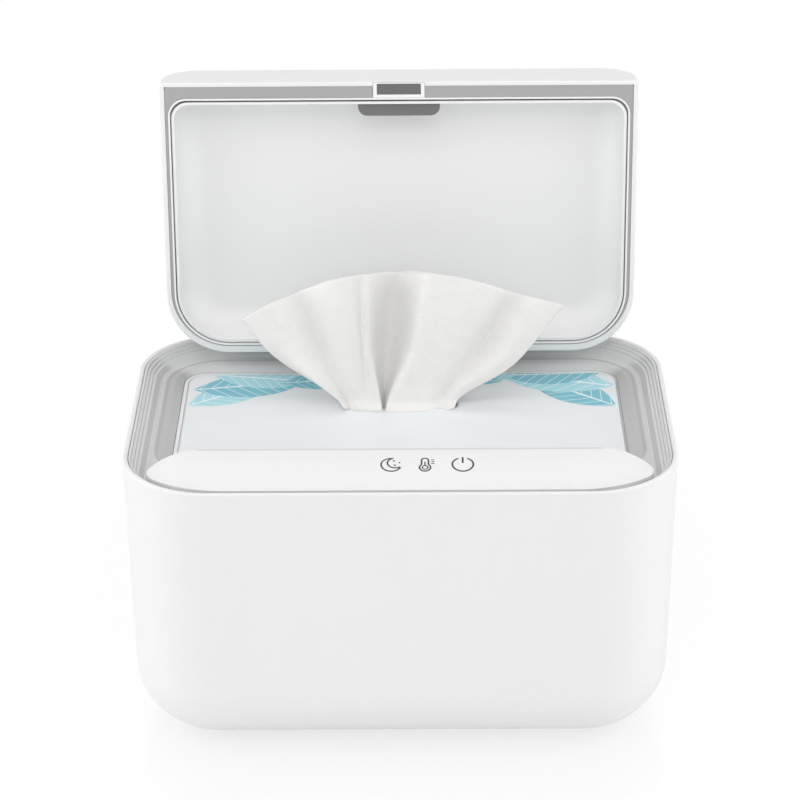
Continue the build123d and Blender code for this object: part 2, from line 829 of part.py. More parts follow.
def make_lid_frame():
    low = lid_rim_height + bezel_recess
    outer = bezel_outline(bezel_gap, low)
    plate_z = lid_rim_height + bezel_recess + bezel_depth
    frame = extrude(outer, amount=bezel_depth + bezel_back)
    frame -= extrude(lid_outline(seal_inset, seal_front_inset, low, seal_front_corner),
                     amount=bezel_depth)
    frame -= extrude(lid_outline(dish_inset - bezel_gap, dish_front_inset - bezel_gap, plate_z - 1,
                                 dish_front_corner + bezel_gap), amount=bezel_back + 2)
    for notch in hinge_notches(ear_front_y - ear_gap * 2):
        frame -= notch
    return frame - holder_block(magnet_gap, lid_rim_height - 1, lid_rim_height + holder_height)


def bezel_outline(gap, z):
    """The lid shell's inner outline, a little smaller."""
    front = lid_front + lid_wall_front + gap
    rear = lid_rear - lid_wall_rear - gap
    shape = Rectangle(2 * (lid_half - lid_wall - gap), rear - front)
    shape = fillet(shape.vertices().group_by(Axis.Y)[0], bezel_front_corner)
    shape = fillet(shape.vertices().group_by(Axis.Y)[-1], lid_corner - lid_wall - gap)
    return Pos(0, (front + rear) / 2, z) * shape


def make_lid_seal():
    low = lid_rim_height - seal_proud
    ring = lid_outline(seal_inset, seal_front_inset, low, seal_front_corner)
    ring -= lid_outline(seal_inset + seal_width, seal_front_inset + seal_width, low,
                        seal_front_corner - seal_width)
    return extrude(ring, amount=seal_proud + bezel_recess + bezel_depth)


def make_magnet_holder():
    holder = holder_block(0, lid_rim_height, lid_rim_height + holder_height - magnet_recess)
    return holder - magnet_box(magnet_gap, lid_rim_height - 1)


def magnet_box(grow, low_z):
    front = lid_front + magnet_front_inset
    return box_between((-magnet_length / 2 - grow, front - grow, low_z),
                       (magnet_length / 2 + grow, front + magnet_width + grow,
                        lid_rim_height + magnet_recess + magnet_thick))


def make_magnet_cover():
    """A half-oval cover behind the magnet, standing on the dish's front wall."""
    front = lid_front + dish_front_inset
    shape = Pos(0, front, lid_rim_height + catch_cover_recess) * RectangleRounded(
        catch_cover_width, 2 * (catch_cover_depth + dish_wall), catch_cover_corner)
    return extrude(shape, amount=catch_cover_thick) & dish_block(dish_wall)


def opened(shape):
    """The lid's pieces are drawn closed and stored open."""
    return shape.rotate(hinge_axis, -lid_swing)


# ---- heater stack ----

def make_heat_spreader():
    plate = Pos(0, mouth_mid_y, spreader_z) * RectangleRounded(spreader_length, spreader_width, 6)
    return extrude(plate, amount=spreader_thick)


def tab_wire_y():
    """The heater's tab ends a wire's run in front of the front connectors."""
    return front_connector_face() - heater_wire_run


def make_heater_film():
    sheet = Pos(0, mouth_mid_y, heater_z) * RectangleRounded(film_length, film_width, 4)
    film = extrude(sheet, amount=heater_thick)
    front = mouth_mid_y - film_width / 2
    return film + box_between((tab_x - tab_width / 2, tab_wire_y() - tab_wire_inset, heater_z),
                              (tab_x + tab_width / 2, front + 1, heater_z + heater_thick))


def make_insulation_mat():
    mat = Pos(0, mouth_mid_y, mat_z) * RectangleRounded(film_length, film_width, 4)
    return extrude(mat, amount=mat_thick)


def make_thermistor():
    bead = Pos(sensor_x, mouth_mid_y, spreader_z - sensor_height) * RectangleRounded(
        sensor_size, sensor_size, 1.5)
    return extrude(bead, amount=sensor_height)


def make_thermal_cutoff():
    can = upright(-sensor_x, mouth_mid_y, spreader_z - sensor_height, sensor_size / 2, sensor_height)
    return can + Pos(-sensor_x, mouth_mid_y, spreader_z - cutoff_flange) * Box(
        sensor_size * 1.5, sensor_size * 1.2, cutoff_flange, align=LOW)


# ---- power board ----

def make_power_board():
    board = extrude(Pos(0, 0, board_height) * RectangleRounded(board_length, board_width, 2),
                    amount=board_thick)
    for x, y in corners(board_hole_x, board_hole_y):
        board -= upright(x, y, board_height, screw_shank_r, board_thick)
    return board


def front_connector_face():
    """Where the wires meet the front connectors."""
    return -board_hole_y - connector_width / 2


def connector_places():
    """Where each wire connector stands: inlet, heater, thermistor and cut-off."""
    edge = board_length / 2 - connector_length
    return [(inlet_x, board_hole_y), (tab_x, -board_hole_y), (edge, mouth_mid_y), (-edge, mouth_mid_y),
            (cable_x, -board_hole_y)]


def make_wire_connectors():
    blocks = []
    for x, y in connector_places():
        length = cable_width + 2 if x == cable_x else connector_length
        blocks.append(Pos(x, y, board_top) * Box(length, connector_width, connector_height, align=LOW))
    return blocks


def make_board_parts():
    """Inductor, two capacitors, controller chip, switching transistor and a relay."""
    coil = upright(coil_x, coil_y, board_top, coil_r, coil_height)
    coil -= upright(coil_x, coil_y, board_top + coil_foot, coil_hole_r, coil_height - coil_foot)
    caps = [upright(capacitor_x + k * capacitor_pitch, capacitor_y, board_top, capacitor_r,
                    capacitor_height) for k in (0, 1)]
    chip = Pos(chip_x, chip_y, board_top) * Box(chip_size, chip_size, chip_thick, align=LOW)
    transistor = Pos(transistor_x, transistor_y, board_top) * Box(
        transistor_length, transistor_width, transistor_height, align=LOW)
    relay = Pos(relay_x, relay_y, board_top) * Box(relay_length, relay_width, relay_height, align=LOW)
    return [coil, *caps, chip, transistor, relay]


def make_board_screws():
    return [screw(x, y, board_top, board_thick + board_screw_grip, up=-1)
            for x, y in corners(board_hole_x, board_hole_y)]


def make_dc_jack():
    face_y = inlet_wall_y() - inlet_depth
    body = box_between((inlet_x - jack_width / 2, face_y - jack_length, inlet_z - jack_height / 2),
                       (inlet_x + jack_width / 2, face_y, inlet_z + jack_height / 2))
    mouth = Plane((inlet_x, face_y, inlet_z), x_dir=(1, 0, 0), z_dir=(0, -1, 0))
    body -= extrude(mouth * Circle(jack_socket_r), amount=jack_socket_depth)
    return body + extrude(mouth * Circle(jack_pin_r), amount=jack_socket_depth + 0.5)


def wire_pair(points, bend, spread):
    """Two wires side by side, moved apart along the spread direction."""
    pair = []
    for side in (-1, 1):
        moved = [tuple(p + side * wire_pitch / 2 * s for p, s in zip(point, spread)) for point in points]
        pair.append(wire_run(moved, bend, wire_r))
    return pair


def make_inlet_wires():
    top = inlet_z - jack_height / 2
    rear_face = board_hole_y + connector_width / 2
    y = inlet_wall_y() - inlet_depth - jack_length + jack_wire_inset
    points = [(inlet_x, y, top), (inlet_x, y, wire_height), (inlet_x, rear_face, wire_height)]
    return wire_pair(points, inlet_wire_bend, (1, 0, 0))


def make_heater_wires():
    y = tab_wire_y()
    points = [(tab_x, y, heater_z), (tab_x, y, wire_height),
              (tab_x, front_connector_face(), wire_height)]
    return wire_pair(points, heater_wire_bend, (1, 0, 0))


def make_sensor_wires():
    wires = []
    foot = spreader_z - sensor_height
    for side in (-1, 1):
        end = side * (board_length / 2 - connector_length / 2)
        points = [(side * sensor_x, mouth_mid_y, foot), (side * sensor_x, mouth_mid_y, wire_height),
                  (end, mouth_mid_y, wire_height)]
        wires += wire_pair(points, sensor_wire_bend, (0, 1, 0))
    return wires


def make_strike_plate():
    front = lid_front + magnet_front_inset
    return box_between((-magnet_length / 2, front, pocket_ceiling - strike_thick),
                       (magnet_length / 2, front + magnet_width, pocket_ceiling))


def main():
    save("outer_shell", make_outer_shell())
    save("base_cover", make_base_cover())
    save("anti_slip_ring", make_anti_slip_ring())
    save("base_screws", *make_base_screws())
    save("stepped_collar", make_stepped_collar())
    save("liner_tub", make_liner_tub())
    save("pack_film", make_pack_film())
    save("wipe_stack", make_wipe_stack())
    save("wipe", make_wipe())
    save("control_panel", make_control_panel())
    save("panel_screws", *make_panel_screws())
    save("touch_board", make_touch_board())
    save("touch_board_screws", *make_touch_board_screws())
    save("touch_pads", *make_touch_pads())
    save("status_leds", *make_status_leds())
    save("ribbon_cable", make_ribbon_cable())
    save("hinge_bracket", make_hinge_bracket())
    save("hinge_screws", *make_hinge_screws())
    save("hinge_pins", *make_hinge_pins())
    save("strike_plate", make_strike_plate())
    save("heat_spreader", make_heat_spreader())
    save("heater_film", make_heater_film())
    save("insulation_mat", make_insulation_mat())
    save("thermistor", make_thermistor())
    save("thermal_cutoff", make_thermal_cutoff())
    save("power_board", make_power_board())
    save("wire_connectors", *make_wire_connectors())
    save("board_parts", *make_board_parts())
    save("board_screws", *make_board_screws())
    save("dc_jack", make_dc_jack())
    save("inlet_wires", *make_inlet_wires())
    save("heater_wires", *make_heater_wires())
    save("sensor_wires", *make_sensor_wires())
    save("lid_shell", opened(make_lid_shell()))
    save("lid_frame", opened(make_lid_frame()))
    save("lid_seal", opened(make_lid_seal()))
    save("lid_dish", opened(make_lid_dish()))
    save("magnet_holder", opened(make_magnet_holder()))
    save("lid_magnet", opened(magnet_box(0, lid_rim_height + magnet_recess)))
    save("magnet_cover", opened(make_magnet_cover()))


main()
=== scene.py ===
import math
from functools import partialmethod

import bmesh
import bpy
from bpy.props import FloatProperty, FloatVectorProperty, PointerProperty
from mathutils import Matrix, Vector, noise


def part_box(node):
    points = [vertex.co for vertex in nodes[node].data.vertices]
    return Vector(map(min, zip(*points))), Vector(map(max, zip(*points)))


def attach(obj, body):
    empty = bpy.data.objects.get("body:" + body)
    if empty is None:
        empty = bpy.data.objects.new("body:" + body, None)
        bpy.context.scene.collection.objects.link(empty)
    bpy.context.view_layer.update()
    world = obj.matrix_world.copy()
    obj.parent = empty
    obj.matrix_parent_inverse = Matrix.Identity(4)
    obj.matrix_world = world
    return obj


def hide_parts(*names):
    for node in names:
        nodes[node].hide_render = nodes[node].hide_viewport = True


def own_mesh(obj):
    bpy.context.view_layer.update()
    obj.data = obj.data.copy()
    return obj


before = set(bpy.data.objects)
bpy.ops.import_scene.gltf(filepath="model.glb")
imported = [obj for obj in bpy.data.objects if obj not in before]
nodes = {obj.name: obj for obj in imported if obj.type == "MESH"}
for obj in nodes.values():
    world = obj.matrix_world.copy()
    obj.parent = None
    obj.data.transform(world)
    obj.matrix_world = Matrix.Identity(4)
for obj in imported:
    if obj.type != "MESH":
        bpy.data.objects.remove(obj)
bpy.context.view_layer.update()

bl_info = {
    "name": "Wipe Warmer",
    "version": (1, 0, 0),
    "blender": (4, 5, 0),
    "location": "3D View > Sidebar > Wipe Warmer",
    "description": "Finishes, soft goods and touch symbols for a baby wipe warmer with an open lid",
    "category": "Object",
}

MM = 0.001
# in millimetres
SLOT_X = 1.0        # middle of the pack's slot, right of the middle
STEP_DROP = 1.15    # height of one step of the collar
PACK_CORNER = 8.5   # corner radius of the pack's plan


def box_mm(node):
    """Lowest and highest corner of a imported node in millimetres."""
    low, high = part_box(node)
    return low / MM, high / MM


film_low, film_high = box_mm("pack_film")
pile_low, pile_high = box_mm("wipe_stack")
panel_low, panel_high = box_mm("control_panel")
_, shell_high = box_mm("outer_shell")


# ---- sizes and colours a user may change ----

def tone(grey, green=None, blue=None):
    """A screen colour from 0 to 255 as the linear colour that a shader takes."""
    parts = (grey, grey if green is None else green, grey if blue is None else blue)
    return tuple(((c / 255 + 0.055) / 1.055) ** 2.4 if c > 10 else c / 255 / 12.92 for c in parts)


def shaded(colour, share):
    """A darker or lighter colour of the same hue."""
    return tuple(min(c * share, 1.0) for c in colour)


def colour_prop(name, description, *values):
    return FloatVectorProperty(name=name, description=description, subtype="COLOR", size=3,
                               min=0, max=1, default=tone(*values))


def float_prop(name, description, value, **kind):
    return FloatProperty(name=name, description=description, default=value, **kind)


def length_prop(name, description, millimetres, highest=1000.0):
    return float_prop(name, description, millimetres * MM, subtype="DISTANCE", unit="LENGTH",
                      min=0, max=highest * MM)


def place_prop(name, description, millimetres):
    """A place on either side of the middle."""
    return float_prop(name, description, millimetres * MM, unit="LENGTH")


def angle_prop(name, description, degrees):
    return float_prop(name, description, math.radians(degrees), subtype="ANGLE", unit="ROTATION")


def watts_prop(name, description, watts):
    return float_prop(name, description, watts, unit="POWER")


class WarmerColours(bpy.types.PropertyGroup):
    """Colours of the warmer's moulded and soft parts."""
    casing: colour_prop("Casing", "Matt outer casing", 228)
    lid: colour_prop("Lid", "Outside of the lid", 232)
    panel: colour_prop("Panel", "Touch panel in front of the lid", 228)
    # Painted shade and light: the collar's walls and risers take this darker colour and its treads a
    # lighter one, as light falls on them.
    collar: colour_prop("Collar", "Stepped collar inside the rim", 184)
    tread_highlight: colour_prop("Collar steps", "Painted highlight on the collar's steps", 214)
    tub: colour_prop("Tub", "Inner tub and its lip", 230)
    dish: colour_prop("Lid dish", "Liner inside the lid", 234)
    bezel: colour_prop("Lid frame", "Grey frame round the lid's liner", 165)
    seal: colour_prop("Seal", "Soft seal in the lid frame", 240)
    catch: colour_prop("Catch cover", "Dark cover behind the magnet", 108)
    magnet: colour_prop("Magnet", "Plated magnet in the lid's front edge", 118)
    base: colour_prop("Base cover", "Cover under the warmer and hinge bracket", 198, 199, 201)
    symbol: colour_prop("Touch symbols", "Printed lines on the panel", 52, 52, 54)
    cloth: colour_prop("Wipe", "Soft white of the wipes", 237, 236, 234)
    film: colour_prop("Pack film", "Ground colour of the pack", 228, 231, 233)
    print_light: colour_prop("Print, light", "Pale tint of the pack's leaves", 166, 216, 225)
    print_deep: colour_prop("Print, deep", "Deep tint of the pack's leaves", 118, 188, 203)


class PackSizes(bpy.types.PropertyGroup):
    """How the soft pack of wipes fills the tub."""
    crown: length_prop("Crown", "How far the pack's top bulges at the slot", 0.9)
    headroom: length_prop("Headroom", "Space between the folded wipes and the film", 1.0)
    crease: length_prop("Creases", "Depth of the film's creases", 0.35)
    film_thick: length_prop("Film", "Thickness of the film", 0.12)
    left_lap: length_prop("Left lap", "How far the film lies over the tub's lip at the left", 0.4)
    right_lap: length_prop("Right lap", "How far the film lies over the tub's lip at the right", 1.65)
    slot_length: length_prop("Slot length", "Length of the opening that the wipe leaves by", 46)
    slot_width: length_prop("Slot width", "Width of the opening that the wipe leaves by", 8.8)
    slot_y: length_prop("Slot place", "How far behind the middle the opening is", 21.6)


class WipeSizes(bpy.types.PropertyGroup):
    """The wipe that is pulled up through the slot."""
    cut_width: length_prop("Cut width", "Width of the wipe laid flat", 150)
    cut_length: length_prop("Cut length", "Length of the wipe laid flat", 180)
    pulled: length_prop("Pulled length", "Length of each layer above the slot", 66)
    pleat: length_prop("Pleats", "Depth of the back layer's pleats at the top", 8.5)
    thick: length_prop("Thickness", "Thickness of the cloth", 0.35)
    layer_gap: length_prop("Layer gap", "Space between the front and back layer at the top", 2.6)
    ripple: length_prop("Ripple", "Depth of the cloth's small ripples", 0.4)
    bulge: length_prop("Bulge", "How far the front layer bulges over the slot", 2.8)


class SymbolSizes(bpy.types.PropertyGroup):
    """The three touch symbols on the panel."""
    height: length_prop("Height", "Size of a symbol on the panel", 8.1)
    flatten: float_prop("Flatten", "Depth of a symbol as a share of its width", 0.75)
    line: length_prop("Line", "Width of a symbol's line", 0.66)
    thick: length_prop("Ink", "Thickness of the printed ink", 0.03)
    moon_x: place_prop("Night light", "Place of the moon symbol", -3.4)
    heat_x: place_prop("Heat", "Place of the thermometer symbol", 10.0)
    power_x: place_prop("Power", "Place of the power symbol", 25.0)
    row_y: place_prop("Row", "Place of the row of symbols", -62.9)


class StageSizes(bpy.types.PropertyGroup):
    """Camera, floor and lamps."""
    distance: length_prop("Camera distance", "From the camera to the middle of the rim", 1191, 9000)
    target_x: place_prop("Aim", "How far right of the middle the camera aims", -0.12)
    target_z: length_prop("Aim height", "Height that the camera aims at", 128.1)
    azimuth: angle_prop("Azimuth", "How far round to the right the camera stands", 0.35)
    elevation: angle_prop("Elevation", "How steeply the camera looks down", 25.5)
    roll: angle_prop("Roll", "Small turn of the camera about its own axis", -0.45)
    lens: float_prop("Lens", "Focal length", 128.5, unit="CAMERA")
    sky: float_prop("Room light", "Even light from all round", 0.5)
    left_watts: watts_prop("Left lamp", "Power of the left lamp", 6.0)
    right_watts: watts_prop("Right lamp", "Power of the right lamp", 5.6)
    top_watts: watts_prop("Top lamp", "Power of the lamp above", 1.8)
    front_watts: watts_prop("Front lamp", "Power of the lamp behind the camera", 4.8)
    high_watts: watts_prop("High lamp", "Power of the lamp high in front", 4.5)
    floor_size: length_prop("Floor", "Width of the floor", 8000, 20000)


GROUPS = (("warmer_colours", WarmerColours), ("warmer_pack", PackSizes), ("warmer_wipe", WipeSizes),
          ("warmer_symbols", SymbolSizes), ("warmer_stage", StageSizes))


# ---- working in edit mode ----

def pick_none():
    if bpy.context.object and bpy.context.object.mode != "OBJECT":
        bpy.ops.object.mode_set(mode="OBJECT")
    bpy.ops.object.select_all(action="DESELECT")


def pick(*objects):
    pick_none()
    for o in objects:
        o.select_set(True)
    bpy.context.view_layer.objects.active = objects[0]


def edit(obj, action="DESELECT"):
    """Enter edit mode with nothing selected, or with everything."""
    pick(obj)
    bpy.ops.object.mode_set(mode="EDIT")
    bpy.ops.mesh.select_all(action=action)


def choose(obj, kind, test):
    """Select in edit mode the vertices, edges or faces that pass a test, and nothing else."""
    bpy.ops.mesh.select_mode(type=kind)
    bpy.ops.mesh.select_all(action="DESELECT")
    mesh = bmesh.from_edit_mesh(obj.data)
    for part in {"VERT": mesh.verts, "EDGE": mesh.edges, "FACE": mesh.faces}[kind]:
        part.select_set(bool(test(part)))
    mesh.select_flush_mode()
    bmesh.update_edit_mesh(obj.data)


def shift_chosen(obj, new_place):
    """Move each selected vertex in edit mode to new_place(its place)."""
    mesh = bmesh.from_edit_mesh(obj.data)
    for v in mesh.verts:
        if v.select:
            v.co = new_place(v.co)
    bmesh.update_edit_mesh(obj.data)


def leave():
    bpy.ops.object.mode_set(mode="OBJECT")


def named(obj, name):
    obj.name = obj.data.name = name
    return obj


def settle(obj):
    """Put the object's place into its mesh."""
    pick(obj)
    bpy.ops.object.transform_apply(location=True, rotation=True, scale=True)
    return obj


def modify(obj, kind, name, **values):
    """Add a modifier and apply it."""
    m = obj.modifiers.new(name, kind)
    for key, value in values.items():
        setattr(m, key, value)
    pick(obj)
    bpy.ops.object.modifier_apply(modifier=m.name)
    return obj


def join(name, parts):
    pick(*parts)
    bpy.ops.object.join()
    return named(bpy.context.object, name)


def mend(obj):
    """Merge doubles and turn the faces outwards."""
    edit(obj, "SELECT")
    bpy.ops.mesh.remove_doubles(threshold=0.01 * MM)
    bpy.ops.mesh.normals_make_consistent(inside=False)
    leave()
    return obj


def dress(obj, material, body):
    obj.data.materials.clear()
    obj.data.materials.append(material)
    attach(obj, body)
    return obj


# ---- shader building ----

class Tree:
    """A small hand for placing and joining shader nodes."""

    def __init__(self, tree):
        self.tree = tree
        self.x = -1400

    def feed(self, socket, value):
        """Give an input another node's output, a colour or a number."""
        if isinstance(value, bpy.types.NodeSocket):
            self.tree.links.new(value, socket)
        elif socket.type == "RGBA":
            socket.default_value = (*value[:3], 1)
        else:
            socket.default_value = value

    def fill(self, n, **values):
        """Feed inputs by name, with an underscore for each space."""
        for key, value in values.items():
            self.feed(n.inputs[key.replace("_", " ")], value)

    def node(self, kind, label="", **values):
        """Place a node: small letters are its settings, capitals its inputs."""
        n = self.tree.nodes.new(kind)
        n.label = label
        n.location = (self.x, -len(self.tree.nodes) * 40)
        self.x += 60
        for key, value in values.items():
            if key[0].islower():
                setattr(n, key, value)
            else:
                self.fill(n, **{key: value})
        return n

    def use(self, effect, label, **values):
        """Place a shared effect and return its outputs."""
        return self.node("ShaderNodeGroup", label, node_tree=effect(), **values).outputs

    def math(self, operation, a, b=None, c=None, clamp=False):
        n = self.node("ShaderNodeMath", operation=operation, use_clamp=clamp)
        for socket, value in zip(n.inputs, (a, b, c)):
            if value is not None:
                self.feed(socket, value)
        return n.outputs[0]

    plus = partialmethod(math, "ADD")
    minus = partialmethod(math, "SUBTRACT")
    times = partialmethod(math, "MULTIPLY")
    times_plus = partialmethod(math, "MULTIPLY_ADD")

    def most(self, *values):
        """The greatest of several values."""
        top = values[0]
        for value in values[1:]:
            top = self.math("MAXIMUM", top, value)
        return top

    def ramp(self, value, low, high, to_low=0.0, to_high=1.0):
        """Value mapped smoothly from low..high."""
        return self.node("ShaderNodeMapRange", interpolation_type="SMOOTHSTEP", Value=value, From_Min=low,
                         From_Max=high, To_Min=to_low, To_Max=to_high).outputs["Result"]

    def mix(self, factor, a, b, share=None):
        """From colour a to colour b by a factor, or by a share of it."""
        if share is not None:
            factor = self.times(factor, share)
        n = self.node("ShaderNodeMix", data_type="RGBA")
        for place, value in ((0, factor), (6, a), (7, b)):
            self.feed(n.inputs[place], value)
        return n.outputs[2]

    def noise(self, vector, scale, detail=2.0, roughness=0.5):
        return self.node("ShaderNodeTexNoise", Scale=scale, Detail=detail, Roughness=roughness,
                         Vector=vector).outputs["Fac"]

    def stretched(self, vector, scale, turn=(0, 0, 0)):
        return self.node("ShaderNodeMapping", Vector=vector, Scale=scale, Rotation=turn).outputs["Vector"]

    def split(self, vector):
        return self.node("ShaderNodeSeparateXYZ", Vector=vector).outputs


SOCKET_KINDS = {"Vector": "NodeSocketVector", "Flat": "NodeSocketVector",
                "Colour": "NodeSocketColor", "Towards": "NodeSocketColor"}


def group(name, build, inputs, outputs):
    """A shared effect, built once. Inputs are names with starting values, build(tree, inputs)
    returns the outputs in order, and a socket that SOCKET_KINDS doesn't list holds a number."""
    if name in bpy.data.node_groups:
        return bpy.data.node_groups[name]
    g = bpy.data.node_groups.new(name, "ShaderNodeTree")
    for label, value in inputs.items():
        kind = SOCKET_KINDS.get(label, "NodeSocketFloat")
        socket = g.interface.new_socket(label, in_out="INPUT", socket_type=kind)
        if value is not None:
            socket.default_value = value
    for label in outputs:
        kind = SOCKET_KINDS.get(label, "NodeSocketFloat")
        g.interface.new_socket(label, in_out="OUTPUT", socket_type=kind)
    start = g.nodes.new("NodeGroupInput")
    end = g.nodes.new("NodeGroupOutput")
    results = build(Tree(g), start.outputs)
    for label, result in zip(outputs, results):
        g.links.new(result, end.inputs[label])
    return g


def tool_texture():
    """Fine spark texture of a moulding tool: pits and a soft roll, with roughness to match."""
    def build(t, given):
        fine = t.noise(given["Vector"], given["Scale"], 3.0, 0.6)
        roll = t.noise(given["Vector"], t.times(given["Scale"], 0.02))
        height = t.times_plus(roll, 0.8, fine)
        shift = t.times_plus(t.minus(fine, 0.5), given["Spread"], given["Roughness"])
        soft = t.times(t.minus(roll, 0.5), given["Spread"])
        return height, t.plus(shift, soft, clamp=True)
    return group("Moulded grain", build, dict(Vector=None, Scale=2500.0, Roughness=0.5, Spread=0.1),
                 ("Height", "Roughness"))


def handling_marks():
    """Faint hairlines and smudges left by handling."""
    def build(t, given):
        place = given["Vector"]
        turns = ((0.4, (9.0, 260.0, 60.0)), (-0.9, (220.0, 8.0, 70.0)), (1.9, (40.0, 190.0, 7.0)))
        hairs = [t.noise(t.stretched(place, scale, (turn * 0.3, turn * 0.2, turn)), 6.0, 1.0)
                 for turn, scale in turns]
        lines = t.most(*(t.ramp(hair, 0.66, 0.72) for hair in hairs))
        patch = t.ramp(t.noise(place, 16.0, 3.0), 0.45, 0.7)
        smudge = t.ramp(t.noise(place, 34.0, 4.0, 0.6), 0.5, 0.75)
        return t.times(t.times(lines, patch), given["Hairlines"]), t.times(smudge, given["Smudges"])
    return group("Handling marks", build, dict(Vector=None, Hairlines=0.5, Smudges=0.5),
                 ("Hairlines", "Smudges"))


def pigment_drift():
    """Slow drift of a colour over a part, as pigment and light age give it."""
    def build(t, given):
        slow = t.ramp(t.noise(given["Vector"], given["Scale"]), 0.3, 0.75)
        return [t.mix(slow, given["Colour"], given["Towards"], share=given["Amount"])]
    return group("Colour drift", build, dict(Vector=None, Colour=(0.8, 0.8, 0.8, 1),
                                             Towards=(0.7, 0.7, 0.7, 1), Scale=9.0, Amount=0.3), ["Colour"])


def off_level(t, given):
    """How far a place is above or below the given height, as a share of the given reach."""
    off = t.math("ABSOLUTE", t.minus(t.split(given["Vector"])[2], given["Height"]))
    return t.math("DIVIDE", off, given["Reach"])


def edge_band():
    """A broken band that fades out above and below the height of a part's edge."""
    def build(t, given):
        near = t.minus(1.0, off_level(t, given), clamp=True)
        broken = t.ramp(t.noise(given["Vector"], 60.0, 3.0), 0.3, 0.7, 0.35, 1.0)
        return [t.times(near, broken)]
    return group("Edge band", build, dict(Vector=None, Height=0.124, Reach=0.002), ["Mask"])


def flat_level():
    """One flat level of a stepped part, or a fine line at that height."""
    def build(t, given):
        return [t.minus(1.5, off_level(t, given), clamp=True)]
    return group("Level", build, dict(Vector=None, Height=0.12, Reach=0.0001), ["Mask"])


def blank_material(name):
    m = bpy.data.materials.new(name)
    m.use_nodes = True
    return m, Tree(m.node_tree), m.node_tree.nodes["Principled BSDF"]


def new_material(name):
    m, t, shader = blank_material(name)
    return m, t, shader, t.node("ShaderNodeTexCoord", "Place on the part").outputs["Object"]


def bump(t, shader, height, strength, millimetres):
    relief = t.node("ShaderNodeBump", "Relief", Strength=strength, Distance=millimetres * MM, Height=height)
    t.fill(shader, Normal=relief.outputs["Normal"])


def plastic(name, colour, roughness, grain=2500.0, depth=0.05, spread=0.08, hairlines=0.3,
            smudges=0.3, shade=0.9, coat=0.0, edge=None, specular=0.5, painted_levels=(), back_light=None):
    """A moulded plastic: grain, slow colour drift, hairlines and smudges. Three extras: a worn edge
    as (height, reach, roughness, shade), painted light and shade at flat heights as (height, reach,
    share, colour) and painted light towards the back as (y, share, colour)."""
    m, t, shader, coords = new_material(name)
    body = t.use(pigment_drift, "Pigment", Vector=coords, Colour=colour, Towards=shaded(colour, shade),
                 Amount=0.5)["Colour"]
    marks = t.use(handling_marks, "Handling", Vector=coords, Hairlines=hairlines, Smudges=smudges)
    skin = t.use(tool_texture, "Tool texture", Vector=coords, Scale=grain, Roughness=roughness,
                 Spread=spread)
    body = t.mix(marks["Hairlines"], body, shaded(colour, 0.86), share=0.25)
    rough = t.times_plus(marks["Smudges"], -0.08, skin["Roughness"])
    rough = t.times_plus(marks["Hairlines"], 0.12, rough)
    if edge:
        edge_z, reach, duller, edge_shade = edge
        band = t.use(edge_band, "Edge", Vector=coords, Height=edge_z, Reach=reach)["Mask"]
        rough = t.times_plus(band, duller, rough)
        body = t.mix(band, body, shaded(colour, edge_shade), share=0.2)
    # Painted light: towards the back the colour blends into the given lighter colour.
    if back_light:
        rear_y, share, rear_colour = back_light
        back = t.ramp(t.split(coords)[1], rear_y - 6 * MM, rear_y)
        body = t.mix(back, body, rear_colour, share=share)
    # Painted light and shade: bands at given heights take a lighter or darker colour.
    for z, reach, share, level_colour in painted_levels:
        mask = t.use(flat_level, "Level", Vector=coords, Height=z, Reach=reach)["Mask"]
        body = t.mix(mask, body, level_colour, share=share)
    t.fill(shader, Base_Color=body, Roughness=t.most(rough, 0.04), Specular_IOR_Level=specular)
    if coat:
        t.fill(shader, Coat_Weight=coat, Coat_Roughness=0.12)
    bump(t, shader, t.times_plus(marks["Hairlines"], -0.5, skin["Height"]), 1.0, depth)
    return m


def metal(name, colour, roughness, brushed=(1, 40, 1)):
    """Plated or rolled metal with drawn lines and dull spots."""
    m, t, shader, coords = new_material(name)
    lines = t.noise(t.stretched(coords, brushed), 900.0, 3.0)
    skin = t.use(tool_texture, "Tool texture", Vector=coords, Scale=1800.0, Roughness=roughness, Spread=0.2)
    dull = t.use(handling_marks, "Handling", Vector=coords, Hairlines=0.6, Smudges=0.6)
    body = t.mix(lines, colour, shaded(colour, 0.8), share=0.4)
    t.fill(shader, Base_Color=t.mix(dull["Smudges"], body, shaded(colour, 0.7)), Metallic=1.0,
           Roughness=t.times_plus(lines, 0.12, skin["Roughness"]))
    bump(t, shader, t.plus(lines, skin["Height"]), 1.0, 0.01)
    return m


def finish_nodes(material, *names):
    for name in names:
        for slot in nodes[name].material_slots:
            slot.material = material


# ---- cloth and film materials ----

def wipe_cloth():
    """Lapped fibres and the small dimples of a water-laced wipe, from the sheet's own flat map."""
    def build(t, given):
        flat = given["Flat"]
        fibres = t.most(*(t.noise(t.stretched(flat, (5200.0, 420.0, 1.0), (0, 0, turn)), 1.0)
                          for turn in (0.2, 1.1, 2.3)))
        cells = t.node("ShaderNodeTexVoronoi", "Dimples", Scale=900.0, Randomness=0.25, Vector=flat)
        dimple = t.ramp(cells.outputs["Distance"], 0.12, 0.42)
        cloud = t.noise(flat, 160.0, 3.0)
        height = t.times_plus(dimple, 0.9, fibres)
        return t.times_plus(cloud, 0.8, height), t.ramp(cloud, 0.35, 0.7), dimple
    return group("Wipe cloth", build, dict(Flat=None), ("Height", "Thin", "Dimples"))


